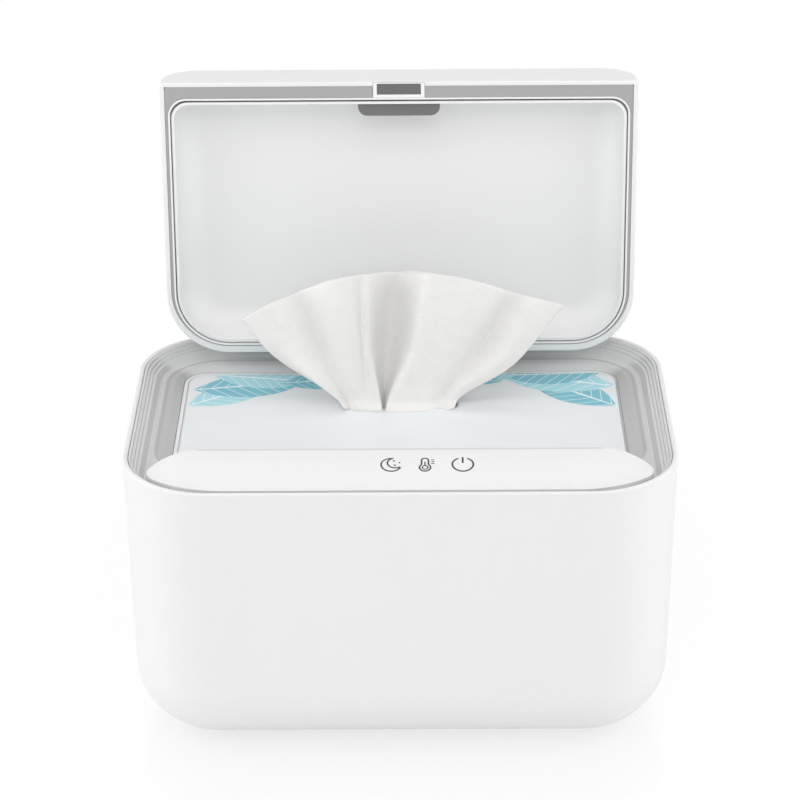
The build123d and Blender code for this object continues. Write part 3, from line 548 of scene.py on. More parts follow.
def cloth_material(colour):
    m, t, shader = blank_material("Wipe cloth")
    flat = t.node("ShaderNodeUVMap", "Flat map of the sheet", uv_map="Flat").outputs["UV"]
    skin = t.use(wipe_cloth, "Fibres", Flat=flat)
    body = t.mix(skin["Thin"], colour, shaded(colour, 0.93), share=0.35)
    body = t.mix(skin["Dimples"], body, shaded(colour, 0.95), share=0.35)
    # painted shade: where the front layer folds back into the deep middle pleat, the cloth is painted
    # darker
    across, along, _ = t.split(flat)
    fold = t.times(t.ramp(across, 0.0605, 0.0645), t.ramp(across, 0.095, 0.1, 1.0, 0.0))
    fold = t.times(fold, t.ramp(along, 0.1, 0.14))
    body = t.mix(fold, body, shaded(colour, 0.93), share=0.9)
    t.fill(shader, Base_Color=body, Roughness=t.times_plus(skin["Thin"], 0.1, 0.84),
           Specular_IOR_Level=0.25, Sheen_Weight=0.25, Sheen_Roughness=0.5)
    bump(t, shader, skin["Height"], 0.8, 0.13)
    return m


def pile_material(colour):
    """The folded wipes in the pack: thin layers seen from the side, cloth on top."""
    m, t, shader, coords = new_material("Folded wipes")
    layer_pitch = 1.0 * MM
    wavy_z = t.times_plus(t.noise(coords, 60.0), 1.2 * MM, t.split(coords)[2])
    layer = t.math("SINE", t.times(wavy_z, 2 * math.pi / layer_pitch))
    skin = t.use(tool_texture, "Fibres", Vector=coords, Scale=1800.0, Roughness=0.88, Spread=0.1)
    # Painted shade: a dark line between the stacked layers of cloth.
    t.fill(shader, Base_Color=t.mix(t.ramp(layer, -1.0, -0.4, 0.5, 0.0), colour, shaded(colour, 0.72)),
           Roughness=skin["Roughness"])
    bump(t, shader, t.times_plus(layer, 0.6, skin["Height"]), 0.8, 0.2)
    return m


def printed_leaf():
    """One leaf: where it is, its rib and side veins. Length runs along X, from 0 to 1."""
    def build(t, given):
        x, y, _ = t.split(given["Vector"])
        along = t.minus(x, 0.5)
        reach = t.minus(0.25, t.times(along, along))
        half = t.times(reach, given["Plumpness"])
        wide = t.math("ABSOLUTE", y)
        inside = t.ramp(t.minus(half, wide), 0.0, 0.012)
        rib = t.ramp(t.minus(wide, t.times(reach, 0.03)), 0.0, 0.01, 1.0, 0.0)
        run = t.times(t.minus(x, t.times(wide, 0.8)), 9.0)
        vein = t.math("ABSOLUTE", t.minus(t.math("FRACT", run), 0.5))
        vein = t.ramp(vein, 0.0, 0.08, 1.0, 0.0)
        return inside, t.times(t.most(rib, vein), inside)
    return group("Printed leaf", build, dict(Vector=None, Plumpness=0.9), ("Leaf", "Veins"))


LEAVES = (  # root of each leaf on the pack's top in mm, length in mm, turn in degrees, deep or pale
    (-91, 24, 44, 34, "pale"), (-90, 40, 50, 8, "deep"), (-82, 55, 44, -10, "pale"),
    (-52, 46, 38, 6, "deep"), (-34, 57, 34, -14, "pale"), (92, 22, 46, 142, "deep"),
    (93, 42, 54, 166, "pale"), (88, 56, 46, 184, "deep"), (52, 57, 40, 196, "pale"),
    (44, 46, 24, 172, "deep"),
)


def film_material(colours):
    """Printed pack film: pale ground with plain leaves at both ends, glossy and softly creased."""
    m, t, shader, coords = new_material("Printed pack film")
    ground = colours.film
    body = t.use(pigment_drift, "Ground", Vector=coords, Colour=ground, Towards=shaded(ground, 0.96),
                 Scale=14.0, Amount=0.6)["Colour"]
    for x, y, length, turn, tint in LEAVES:
        root = (x / length, y / length, 0)
        laid = t.stretched(coords, (1000 / length,) * 3)
        turned = t.node("ShaderNodeVectorRotate", "Turn", rotation_type="Z_AXIS", Center=root,
                        Angle=-math.radians(turn), Vector=laid)
        rooted = t.node("ShaderNodeVectorMath", "Root", operation="SUBTRACT")
        t.feed(rooted.inputs[0], turned.outputs["Vector"])
        t.feed(rooted.inputs[1], root)
        leaf = t.use(printed_leaf, "Leaf", Vector=rooted.outputs["Vector"], Plumpness=0.95)
        body = t.mix(leaf["Leaf"], body, colours.print_light if tint == "pale" else colours.print_deep)
        body = t.mix(leaf["Veins"], body, shaded(ground, 1.5), share=0.75)
    skin = t.use(tool_texture, "Film", Vector=coords, Scale=700.0, Roughness=0.34, Spread=0.04)
    t.fill(shader, Base_Color=body, Roughness=skin["Roughness"])
    crease = t.noise(t.stretched(coords, (1.0, 1.7, 1.0)), 70.0, 3.0, 0.45)
    fine = t.times(skin["Height"], 0.06)
    bump(t, shader, t.times_plus(crease, 3.0, fine), 0.3, 0.15)
    return m


def ink_material(ink):
    m, t, shader, coords = new_material("Symbol ink")
    dots = t.ramp(t.noise(coords, 5200.0), 0.55, 0.75, 0.0, 0.35)
    skin = t.use(tool_texture, "Ink", Vector=coords, Scale=3000.0, Roughness=0.5, Spread=0.15)
    t.fill(shader, Base_Color=t.mix(dots, ink, shaded(ink, 2.2)), Roughness=skin["Roughness"])
    bump(t, shader, skin["Height"], 0.5, 0.01)
    return m


# ---- symbols ----

def arc_strip(radius, line, start, sweep, steps, at=(0.0, 0.0)):
    """A flat line bent along an arc, in millimetres: an edge laid across the line and spun."""
    pick_none()
    bpy.ops.mesh.primitive_plane_add(size=line * MM, location=(radius * MM, 0, 0))
    obj = settle(bpy.context.object)
    edit(obj)
    choose(obj, "VERT", lambda v: v.co.y > 0)
    bpy.ops.mesh.delete(type="VERT")
    bpy.ops.mesh.select_all(action="SELECT")
    bpy.ops.transform.translate(value=(0, line * MM / 2, 0))
    bpy.ops.transform.rotate(value=-start, orient_axis="Z", center_override=(0, 0, 0))
    bpy.ops.mesh.spin(steps=steps, angle=-sweep, center=(0, 0, 0), axis=(0, 0, 1))
    bpy.ops.mesh.select_all(action="SELECT")
    bpy.ops.transform.translate(value=(at[0] * MM, at[1] * MM, 0))
    leave()
    return obj


def bar_strip(start, end, line):
    """A straight flat line between two points, in millimetres, cut so that it can bend."""
    run = Vector((end[0] - start[0], end[1] - start[1]))
    pick_none()
    bpy.ops.mesh.primitive_plane_add(size=MM)
    obj = bpy.context.object
    edit(obj, "SELECT")
    bpy.ops.mesh.subdivide(number_cuts=6)
    bpy.ops.transform.resize(value=(run.length, line, 1), center_override=(0, 0, 0))
    bpy.ops.transform.rotate(value=-math.atan2(run.y, run.x), orient_axis="Z", center_override=(0, 0, 0))
    bpy.ops.transform.translate(value=((start[0] + end[0]) / 2 * MM, (start[1] + end[1]) / 2 * MM, 0))
    leave()
    return obj


def dot(at, radius):
    pick_none()
    bpy.ops.mesh.primitive_circle_add(vertices=12, radius=radius * MM, fill_type="TRIFAN",
                                      location=(at[0] * MM, at[1] * MM, 0))
    return settle(bpy.context.object)


def lay_on_panel(obj, x, sizes):
    """Drop a flat symbol on the panel's curved face and give the ink its thickness."""
    above_panel = panel_high.z * MM + 4 * MM
    edit(obj, "SELECT")
    bpy.ops.transform.resize(value=(1, sizes.flatten, 1), center_override=(0, 0, 0))
    bpy.ops.transform.translate(value=(x, sizes.row_y, above_panel))
    leave()
    modify(obj, "SHRINKWRAP", "Lay on the panel", target=nodes["control_panel"],
           wrap_method="PROJECT", use_project_z=True, use_negative_direction=True,
           use_positive_direction=False, offset=sizes.thick * 0.3)
    mend(obj)
    if sum(p.normal.z * p.area for p in obj.data.polygons) < 0:
        edit(obj, "SELECT")
        bpy.ops.mesh.flip_normals()
        leave()
    return modify(obj, "SOLIDIFY", "Ink", thickness=sizes.thick, offset=1.0)


# ---- loose cloth, by control lines ----

# each line runs up the front layer from the slot to the top edge: (x, y, z) in millimetres
FAN_LINES = (
    ((-23.1, 19.5, 116.2), (-32.9, 21.2, 123.9), (-53.5, 25.2, 136.9), (-66.8, 28.7, 152.3)),
    ((-22.4, 19.0, 115.6), (-30.5, 19.9, 123.0), (-47.4, 22.7, 139.3), (-55.0, 26.2, 160.7)),
    ((-21.3, 20.0, 114.8), (-25.9, 23.4, 122.9), (-34.6, 30.7, 138.6), (-43.1, 35.7, 162.1)),
    ((-19.6, 18.8, 114.9), (-22.2, 20.2, 124.4), (-25.8, 24.2, 141.6), (-29.3, 28.2, 170.4)),
    ((-17.2, 18.4, 114.8), (-18.2, 19.7, 124.7), (-18.4, 23.2, 142.1), (-20.5, 26.7, 172.9)),
    ((-12.7, 18.0, 114.8), (-14.1, 19.6, 124.5), (-16.1, 23.6, 141.8), (-17.6, 27.6, 172.8)),
    ((-8.0, 17.9, 114.9), (-9.8, 19.2, 124.4), (-13.2, 23.6, 142.1), (-14.2, 28.4, 173.0)),
    ((-7.9, 21.4, 114.3), (-9.1, 24.8, 122.7), (-10.5, 31.4, 140.5), (-9.2, 37.2, 169.9)),
    ((-7.2, 24.6, 113.9), (-6.6, 29.2, 121.6), (-5.2, 36.7, 138.0), (-1.9, 42.2, 167.9)),
    ((-6.6, 21.4, 114.3), (-4.5, 25.2, 122.5), (1.6, 31.4, 140.5), (5.4, 37.2, 170.2)),
    ((-6.2, 17.9, 114.9), (-2.4, 19.1, 124.6), (6.4, 23.0, 143.6), (11.8, 27.7, 173.7)),
    ((1.9, 17.6, 114.7), (4.5, 19.2, 123.5), (14.7, 23.0, 143.7), (23.8, 27.7, 172.0)),
    ((10.2, 18.0, 114.7), (13.8, 19.9, 123.0), (24.9, 24.2, 143.7), (36.6, 28.2, 168.4)),
    ((15.2, 19.7, 114.5), (19.9, 23.7, 122.9), (33.2, 31.7, 137.2), (47.8, 36.2, 161.1)),
    ((19.0, 19.2, 115.0), (24.2, 20.7, 123.1), (42.8, 24.7, 136.4), (58.4, 28.7, 161.4)),
    ((21.8, 19.8, 116.0), (28.5, 21.2, 121.6), (48.7, 25.2, 133.1), (69.1, 28.7, 158.4)),
)

FAN_UP = (0.0, 0.22, 0.55, 1.0)   # how far up the layer each line's four points lie


def curve_point(points, at):
    """A smooth curve through evenly spaced points, at a share of its run."""
    last = len(points) - 1
    place = min(max(at, 0.0), 1.0) * last
    i = min(int(place), last - 1)
    t = place - i
    p1, p2 = points[i], points[i + 1]
    p0 = points[i - 1] if i > 0 else p1 * 2 - p2
    p3 = points[i + 2] if i + 2 <= last else p2 * 2 - p1
    return (p1 * 2 + (p2 - p0) * t + (p0 * 2 - p1 * 5 + p2 * 4 - p3) * t * t
            + (p1 * 3 - p0 - p2 * 3 + p3) * t * t * t) * 0.5


def fan_point(s, v):
    """A point of the front layer: s from left to right, v from the slot to the top edge."""
    share = next((i + (v - FAN_UP[i]) / (FAN_UP[i + 1] - FAN_UP[i])
                  for i in range(3) if v <= FAN_UP[i + 1]), 3) / 3
    return curve_point([curve_point([Vector(p) for p in line], share) for line in FAN_LINES], s)


# ---- operators: finishes ----

class WARMER_OT_finish_casing(bpy.types.Operator):
    """Give the casing, the panel and the underside their moulded finishes"""
    bl_idname = "warmer.finish_casing"
    bl_label = "Casing finish"

    def execute(self, context):
        c = context.scene.warmer_colours
        rim = shell_high.z * MM
        finish_nodes(plastic("Casing, satin white", c.casing, 0.46, grain=3200, depth=0.03, shade=0.975,
                             hairlines=0.25, smudges=0.35, edge=(rim, 1.6 * MM, -0.14, 1.02)),
                     "outer_shell")
        # Painted shadow: a thin dark line along the panel's top ridge, where its back edge meets the pack;
        # it also dulls the highlight there.
        crest_shadow_line = shaded(c.panel, 0.68)
        finish_nodes(plastic("Panel, satin white", c.panel, 0.32, grain=2600, depth=0.012, shade=0.985,
                             hairlines=0.3, smudges=0.6, coat=0.15,
                             painted_levels=[(panel_high.z * MM, 0.2 * MM, 0.8, crest_shadow_line)]), "control_panel")
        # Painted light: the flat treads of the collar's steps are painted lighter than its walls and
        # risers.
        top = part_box("stepped_collar")[1].z
        treads = [(top - k * STEP_DROP * MM, 0.14 * MM, 1.0, c.tread_highlight) for k in range(4)]
        # Painted light: the collar is painted lighter towards its back, under the open lid, where it would
        # be in shade.
        lit_under_lid = (58 * MM, 0.75, tone(218))
        # Painted highlight at the foot of the collar's wall and on the shelf, and a painted shadow line
        # just below the shelf's edge.
        shelf = panel_low.z * MM
        shadow = shaded(c.collar, 0.72)
        seat_light_and_shadow = [(shelf + 0.3 * MM, 0.22 * MM, 0.9, c.tread_highlight), (shelf, 0.05 * MM, 0.45, c.tread_highlight),
                (shelf - 0.35 * MM, 0.16 * MM, 0.5, shadow)]
        finish_nodes(plastic("Collar, light grey", c.collar, 0.42, grain=2400, depth=0.02, shade=0.96,
                             painted_levels=treads + seat_light_and_shadow, back_light=lit_under_lid), "stepped_collar")
        finish_nodes(plastic("Tub, white", c.tub, 0.34, grain=2200, depth=0.015, shade=0.97),
                     "liner_tub")
        finish_nodes(plastic("Underside, grey", c.base, 0.55, grain=1800, depth=0.05, shade=0.93),
                     "base_cover", "hinge_bracket")
        finish_nodes(plastic("Foot ring, grey rubber", tone(150, 151, 153), 0.78, grain=1500, depth=0.07,
                             shade=0.85, smudges=0.8, specular=0.3), "anti_slip_ring")
        return {"FINISHED"}


class WARMER_OT_finish_lid(bpy.types.Operator):
    """Give the lid's shell, frame, seal, dish and catch their finishes"""
    bl_idname = "warmer.finish_lid"
    bl_label = "Lid finish"

    def execute(self, context):
        c = context.scene.warmer_colours
        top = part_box("lid_shell")[1].z
        finish_nodes(plastic("Lid, satin white", c.lid, 0.4, grain=3200, depth=0.02, shade=0.975,
                             hairlines=0.25, smudges=0.5, edge=(top, 2 * MM, -0.1, 1.02)), "lid_shell")
        finish_nodes(plastic("Lid liner, soft white", c.dish, 0.5, grain=2600, depth=0.02, shade=0.98),
                     "lid_dish")
        finish_nodes(plastic("Lid frame, grey", c.bezel, 0.36, grain=2600, depth=0.015, shade=0.95),
                     "lid_frame")
        finish_nodes(plastic("Seal, soft white", c.seal, 0.5, grain=1500, depth=0.03, shade=0.95,
                             specular=0.35), "lid_seal", "magnet_holder")
        finish_nodes(plastic("Catch cover, smoky grey", c.catch, 0.3, grain=2400, depth=0.01, shade=0.9,
                             coat=0.2), "magnet_cover")
        finish_nodes(metal("Magnet, plated", c.magnet, 0.32, brushed=(1, 1, 30)), "lid_magnet")
        return {"FINISHED"}


class WARMER_OT_finish_inside(bpy.types.Operator):
    """Give the heater, the boards, wires and screws inside the casing their finishes"""
    bl_idname = "warmer.finish_inside"
    bl_label = "Inner works finish"

    def execute(self, context):
        finish_nodes(metal("Steel, zinc plated", tone(196, 198, 202), 0.3), "base_screws",
                     "panel_screws", "touch_board_screws", "board_screws", "hinge_screws",
                     "hinge_pins", "strike_plate")
        finish_nodes(metal("Aluminium, rolled", tone(214, 215, 218), 0.34, brushed=(1, 60, 1)),
                     "heat_spreader")
        finish_nodes(plastic("Heater film, amber", tone(196, 128, 42), 0.3, grain=900, depth=0.02,
                             coat=0.5), "heater_film")
        finish_nodes(plastic("Insulation felt", tone(172, 170, 166), 0.95, grain=1400, depth=0.25,
                             spread=0.05, shade=0.8, specular=0.2), "insulation_mat")
        finish_nodes(plastic("Circuit board, green", tone(38, 104, 66), 0.36, grain=1200, depth=0.02,
                             shade=0.8, coat=0.4), "power_board", "touch_board")
        finish_nodes(plastic("Parts, black", tone(40, 41, 43), 0.42, grain=1600, depth=0.03, shade=0.8),
                     "board_parts", "dc_jack", "thermistor", "thermal_cutoff")
        finish_nodes(plastic("Connectors, ivory", tone(232, 228, 214), 0.4, grain=1800, depth=0.02),
                     "wire_connectors")
        finish_nodes(plastic("Wire, grey", tone(150, 152, 156), 0.45, grain=900, depth=0.04), "inlet_wires",
                     "heater_wires", "sensor_wires", "ribbon_cable")
        finish_nodes(plastic("Touch foam, black", tone(46, 46, 48), 0.95, grain=1100, depth=0.3,
                             spread=0.05, specular=0.2), "touch_pads")
        finish_nodes(plastic("Lamp lens, milky", tone(236, 238, 240), 0.2, grain=900, depth=0.01,
                             coat=0.6), "status_leds")
        return {"FINISHED"}


# ---- operators: pieces ----

class WARMER_OT_symbols(bpy.types.Operator):
    """Print the moon, thermometer and power symbols on the panel"""
    bl_idname = "warmer.symbols"
    bl_label = "Touch symbols"

    def execute(self, context):
        sizes = context.scene.warmer_symbols
        line = sizes.line / MM
        half = sizes.height / MM / 2
        turn = math.radians
        ink = ink_material(context.scene.warmer_colours.symbol)
        inner = (half * 0.39, half * 0.26)
        moon = [arc_strip(half, line, turn(78), turn(257), 44),
                arc_strip(half * 0.77, line, turn(112), turn(195), 32, at=inner),
                dot((half * 0.26, half * 0.58), 0.46), dot((half * 0.8, half * 0.3), 0.4),
                dot((half * 0.34, -half * 0.1), 0.46)]
        bulb, stem, low = half * 0.54, half * 0.34, -half * 0.46
        neck = low + math.sqrt(bulb ** 2 - stem ** 2)
        open_half = math.asin(stem / bulb)
        heat = [arc_strip(bulb, line, turn(90) + open_half, turn(360) - 2 * open_half, 32, at=(0, low)),
                arc_strip(stem, line, 0, turn(180), 18, at=(0, half - stem)),
                bar_strip((-stem, half - stem), (-stem, neck), line),
                bar_strip((stem, half - stem), (stem, neck), line),
                arc_strip(bulb * 0.5, line * 0.8, 0, turn(360), 22, at=(0, low)),
                bar_strip((0, low + bulb * 0.5), (0, half * 0.42), line * 0.8)]
        for height in (0.72, 0.43, 0.14):
            heat.append(bar_strip((half * 0.6, half * height), (half * 0.92, half * height), line * 0.7))
        power = [arc_strip(half * 1.03, line * 1.1, turn(115), turn(310), 48),
                 bar_strip((0, half * 0.2), (0, half * 1.17), line * 1.1)]
        for name, parts, x in (("moon_symbol", moon, sizes.moon_x), ("heat_symbol", heat, sizes.heat_x),
                               ("power_symbol", power, sizes.power_x)):
            dress(lay_on_panel(join(name, parts), x, sizes), ink, "base")
        return {"FINISHED"}


def pack_plan(sizes):
    """Middle and half sizes of the pack's top in millimetres, with its laps over the tub's lip."""
    left, right = film_low.x - sizes.left_lap / MM, film_high.x + sizes.right_lap / MM
    return ((left + right) / 2, (film_low.y + film_high.y) / 2,
            (right - left) / 2, (film_high.y - film_low.y) / 2)


def past_corner(x, y, sizes):
    """How far a point lies beyond the centre of the plan's nearest rounded corner."""
    mid_x, mid_y, half_x, half_y = pack_plan(sizes)
    return abs(x - mid_x) - (half_x - PACK_CORNER), abs(y - mid_y) - (half_y - PACK_CORNER)


def pack_outline(x, y, sizes):
    """How deep inside the pack's rounded plan a point is, in millimetres."""
    dx, dy = past_corner(x, y, sizes)
    return PACK_CORNER - math.hypot(max(dx, 0), max(dy, 0)) - min(max(dx, dy), 0)


# the film's sides below its edge: how far down and how far in, in millimetres
SKIRT = ((0.24, 0), (8, 0.24), (22, 0.48), (40, 0.96))
FOOT_HEIGHT, FOOT_IN = 6, 1.44   # where the sides turn under


class WARMER_OT_pack(bpy.types.Operator):
    """Model the soft printed pack and the folded wipes in it"""
    bl_idname = "warmer.pack"
    bl_label = "Pack of wipes"

    def execute(self, context):
        sizes = context.scene.warmer_pack
        colours = context.scene.warmer_colours
        self.film(sizes, film_material(colours))
        self.pile(sizes, pile_material(colours.cloth))
        return {"FINISHED"}

    def film(self, sizes, material):
        mid_x, mid_y, half_x, half_y = pack_plan(sizes)
        plan = Vector((mid_x, mid_y, film_high.z)) * MM
        # a fine grid closes the top, so that it can crown and crease
        pick_none()
        bpy.ops.mesh.primitive_grid_add(x_subdivisions=180, y_subdivisions=94, size=MM, location=plan)
        top = named(settle(bpy.context.object), "soft_pack")
        edit(top, "SELECT")
        bpy.ops.transform.resize(value=(half_x * 2, half_y * 2, 1), center_override=plan)
        choose(top, "FACE", lambda f: self.in_slot(f.calc_center_median(), sizes) < 1)
        bpy.ops.mesh.delete(type="FACE")
        choose(top, "VERT", lambda v: v.is_boundary and self.in_slot(v.co, sizes) < 3)
        heart = Vector((SLOT_X * MM, sizes.slot_y, film_high.z * MM))
        shift_chosen(top, lambda at: heart + (at - heart) / self.in_slot(at, sizes) ** 0.25)
        leave()
        for v in top.data.vertices:
            v.co = Vector(self.top_point(v.co.x / MM, v.co.y / MM, sizes)) * MM
        edit(top)
        for drop, pull in (*SKIRT, (film_high.z - film_low.z - FOOT_HEIGHT, FOOT_IN)):
            self.extend(top, sizes)
            shift_chosen(top, lambda at: self.skirt_point(at, drop, pull, sizes))
        self.extend(top, sizes)
        bpy.ops.transform.resize(value=(0.93, 0.88, 1))
        shift_chosen(top, lambda at: Vector((at.x, at.y, film_low.z * MM)))
        bpy.ops.mesh.edge_face_add()
        leave()
        modify(mend(top), "SOLIDIFY", "Film", thickness=sizes.film_thick, offset=-1.0)
        bpy.ops.object.shade_smooth()
        dress(top, material, "base")
        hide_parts("pack_film")

    def in_slot(self, at, sizes):
        """Under 1 inside the slot's rounded outline, 1 on it."""
        return (((at.x / MM - SLOT_X) / (sizes.slot_length / MM / 2)) ** 4 +
                ((at.y - sizes.slot_y) / (sizes.slot_width / 2)) ** 4)

    def extend(self, obj, sizes):
        """Add a row of faces to the film's outer edge and leave the new edge selected."""
        choose(obj, "EDGE", lambda e: e.is_boundary
               and self.in_slot((e.verts[0].co + e.verts[1].co) / 2, sizes) > 3)
        bpy.ops.mesh.extrude_region_move()

    def skirt_point(self, at, drop, pull, sizes):
        """Where a new row of the film's sides goes. The first row, which has no pull, draws back
        what laps over the tub's lip."""
        mid_x, _, half_x, _ = pack_plan(sizes)
        middle = (film_low + film_high) / 2
        x = at.x
        if not pull:
            x = (middle.x + (x / MM - mid_x) * (film_high.x - middle.x) / half_x) * MM
        inward = Vector((middle.x * MM - x, middle.y * MM - at.y, 0)).normalized()
        return Vector((x, at.y, (film_high.z - drop) * MM)) + inward * pull * MM

    def top_point(self, x, y, sizes):
        """The crowned, creased top of the pack over a plan place."""
        mid_x, mid_y, half_x, half_y = pack_plan(sizes)
        dx, dy = past_corner(x, y, sizes)
        if dx > 0 and dy > 0:
            # pull the grid's square corners on to the rounded plan
            k = max(dx, dy) / math.hypot(dx, dy)
            x = mid_x + math.copysign(half_x - PACK_CORNER + dx * k, x - mid_x)
            y = mid_y + math.copysign(half_y - PACK_CORNER + dy * k, y - mid_y)
        depth = max(pack_outline(x, y, sizes), 0.0)
        edge_round, lift, fall = 2.0, 0.3, 0.48
        edge = min(depth / edge_round, 1.0)
        z = film_high.z + lift - fall * (1 - math.sqrt(max(1 - (1 - edge) ** 2, 0.0)))
        slot_y = sizes.slot_y / MM
        crown_x, crown_y = 70, 42
        away = math.hypot((x - SLOT_X) / crown_x, (y - slot_y) / crown_y)
        z += sizes.crown / MM * math.exp(-away * away * 1.6) * edge
        rim = max(self.in_slot(Vector((x, y, 0)) * MM, sizes), 1.0) ** 0.25 - 1
        slot_lip = 0.7
        z += slot_lip * math.exp(-rim * 9)
        flat_edge = 8.0
        calm = min(depth / flat_edge, 1.0)
        crease = sizes.crease / MM
        z += crease * calm * noise.noise(Vector((x / 26, y / 15, 3.1)))
        angle = math.atan2(y - slot_y, (x - SLOT_X) * 0.6)
        rays = 9
        ray = math.sin(angle * rays + 3 * noise.noise(Vector((x / 40, y / 40, 0.5))))
        z += crease * 0.6 * ray * math.exp(-abs(away - 0.45) * 3.0) * calm
        return x, y, z

    def pile(self, sizes, material):
        size = pile_high - pile_low
        size.z -= sizes.headroom / MM
        middle = pile_low + size / 2
        side_gap, foot_taper = 1, 5
        corner, edge_round = 7 * MM, 2.5 * MM
        pick_none()
        bpy.ops.mesh.primitive_cube_add(size=MM, location=middle * MM,
                                        scale=(size.x - side_gap, size.y - side_gap, size.z))
        obj = named(settle(bpy.context.object), "folded_wipes")
        edit(obj)
        choose(obj, "FACE", lambda f: f.normal.z < -0.9)
        bpy.ops.transform.resize(value=(1 - foot_taper / size.x, 1 - foot_taper / size.y, 1))
        choose(obj, "EDGE", lambda e: abs(e.verts[0].co.z - e.verts[1].co.z) > 0.01)
        bpy.ops.mesh.bevel(offset=corner, segments=6, affect="EDGES", clamp_overlap=False)
        choose(obj, "EDGE", lambda e: e.verts[0].co.z == e.verts[1].co.z)
        bpy.ops.mesh.bevel(offset=edge_round, segments=3, affect="EDGES", clamp_overlap=False)
        leave()
        pick(mend(obj))
        bpy.ops.object.shade_smooth_by_angle(angle=math.radians(35))
        dress(obj, material, "base")
        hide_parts("wipe_stack")


class WARMER_OT_wipe(bpy.types.Operator):
    """Model the wipe that fans out of the slot, folded once so that it has two layers"""
    bl_idname = "warmer.wipe"
    bl_label = "Pulled wipe"

    def execute(self, context):
        sizes = context.scene.warmer_wipe
        pick_none()
        bpy.ops.mesh.primitive_grid_add(x_subdivisions=180, y_subdivisions=150, size=2)
        obj = named(bpy.context.object, "pulled_wipe")
        flat = obj.data.uv_layers[0] if obj.data.uv_layers else obj.data.uv_layers.new()
        flat.name = "Flat"
        for loop in obj.data.loops:
            co = obj.data.vertices[loop.vertex_index].co
            flat.data[loop.index].uv = ((co.x + 1) / 2 * sizes.cut_width,
                                        (co.y + 1) / 2 * sizes.cut_length)
        for v in obj.data.vertices:
            v.co = self.place((v.co.x + 1) / 2, (1 - v.co.y) / 2, sizes) * MM
        modify(obj, "SOLIDIFY", "Cloth", thickness=sizes.thick, offset=0.0)
        bpy.ops.object.shade_smooth()
        dress(obj, cloth_material(context.scene.warmer_colours.cloth), "base")
        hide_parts("wipe")
        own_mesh(obj)
        return {"FINISHED"}

    def place(self, s, v, sizes):
        """A point of the sheet: s across it, v along it. Its two ends stand up through the slot as
        front and back layer, and its middle lies folded under the film."""
        out = sizes.pulled / sizes.cut_length
        front = v < 0.5
        run = v if front else 1 - v
        h = max(1 - run / out, 0.0)
        p = self.front_layer(s, h, sizes) if front else self.back_layer(s, h, sizes)
        if run <= out:
            return p
        hidden = (run - out) / (0.5 - out)
        spread = min(hidden * 1.8, 1.0)
        spread = spread * spread * (3 - 2 * spread)
        narrower, fold_y = 4, -3.0
        wide = SLOT_X + (s - 0.5) * (sizes.cut_width / MM - narrower)
        level = pile_high.z + (-0.1 if front else -0.6)
        fold = 0.96   # from here on the two layers come together
        if hidden > fold:
            level += (hidden - fold) / (1 - fold) * (-0.2 if front else 0.25)
        down = math.exp(-(hidden * 22) ** 2)
        y = p.y + (fold_y - p.y) * hidden
        ripple = 0.1 * noise.noise(Vector((s * 12, hidden * 3, 9.1)))
        return Vector((p.x + (wide - p.x) * spread, y, level + (p.z - level) * down + ripple))

    def front_layer(self, s, h, sizes):
        """Bulges forward over the slot's lip, but not in the deep middle fold."""
        p = fan_point(s, h)
        fold_s, lip_h = 0.53, 0.035
        lobe = 1 - 0.9 * math.exp(-((s - fold_s) / 0.07) ** 2)
        bulge = sizes.bulge / MM * lobe * (0.75 + 0.4 * s) * math.exp(-((h - lip_h) / 0.045) ** 2)
        p.y -= bulge
        p.z -= bulge * 0.25
        return self.ruffle(p, s, h, sizes, 1.7)

    def back_layer(self, s, h, sizes):
        """Hangs behind the front layer and never touches it, with pleats of its own."""
        p = fan_point(s, h)
        near = [fan_point(min(max(s + d, 0.0), 1.0), h) for d in (-0.12, -0.06, 0, 0.06, 0.12)]
        calm = sum(near, Vector()) / 5
        side = min(min(s, 1 - s) / 0.1, 1.0)
        deep = max(p.y, calm.y) + 0.9 + sizes.layer_gap / MM * h
        pleats = 5
        pleat = (1.3 + sizes.pleat / MM * h) * (0.5 - 0.5 * math.cos(s * 2 * math.pi * pleats)) * side
        y = deep + pleat
        lip = 0.7 * math.exp(-((s - 0.6) / 0.14) ** 2) * h
        z = p.z - 0.45 * (y - p.y) * h + lip
        return self.ruffle(Vector((p.x + (calm.x - p.x) * 0.5 * side, y, z)), s, h, sizes, 5.2)

    def ruffle(self, p, s, h, sizes, seed):
        """Small uneven ripples, which die out at the slot."""
        ripple = sizes.ripple / MM * min(h / 0.3, 1.0)
        p.y += ripple * noise.noise(Vector((s * 14, h * 3.2, seed)))
        p.y += ripple * 0.5 * noise.noise(Vector((s * 42, h * 8, seed + 1.2)))
        p.z += ripple * noise.noise(Vector((s * 9, 0.3, seed + 2.7))) * h * h
        return p


# ---- operator: stage ----

def area_lamp(name, at, size, watts):
    """A lamp that faces the rim's height over the middle of the stage."""
    lamp = bpy.data.lights.new(name, "AREA")
    lamp.shape, lamp.size, lamp.size_y, lamp.energy = "RECTANGLE", size[0], size[1], watts
    obj = bpy.data.objects.new(name, lamp)
    bpy.context.scene.collection.objects.link(obj)
    obj.location = at
    obj.rotation_euler = (Vector((0, 0, 0.12)) - Vector(at)).to_track_quat("-Z", "Y").to_euler()


def seen_rays(t):
    """1 for a ray that the eye sees, straight, mirrored or through glass, and 0 for light's own."""
    path = t.node("ShaderNodeLightPath", "Seen by camera, gloss or glass").outputs
    return t.most(path["Is Camera Ray"], path["Is Glossy Ray"], path["Is Transmission Ray"])


def mix_shaders(t, label, share, first, second):
    n = t.node("ShaderNodeMixShader", label)
    for socket, value in zip(n.inputs, (share, first, second)):
        t.feed(socket, value)
    return n.outputs[0]


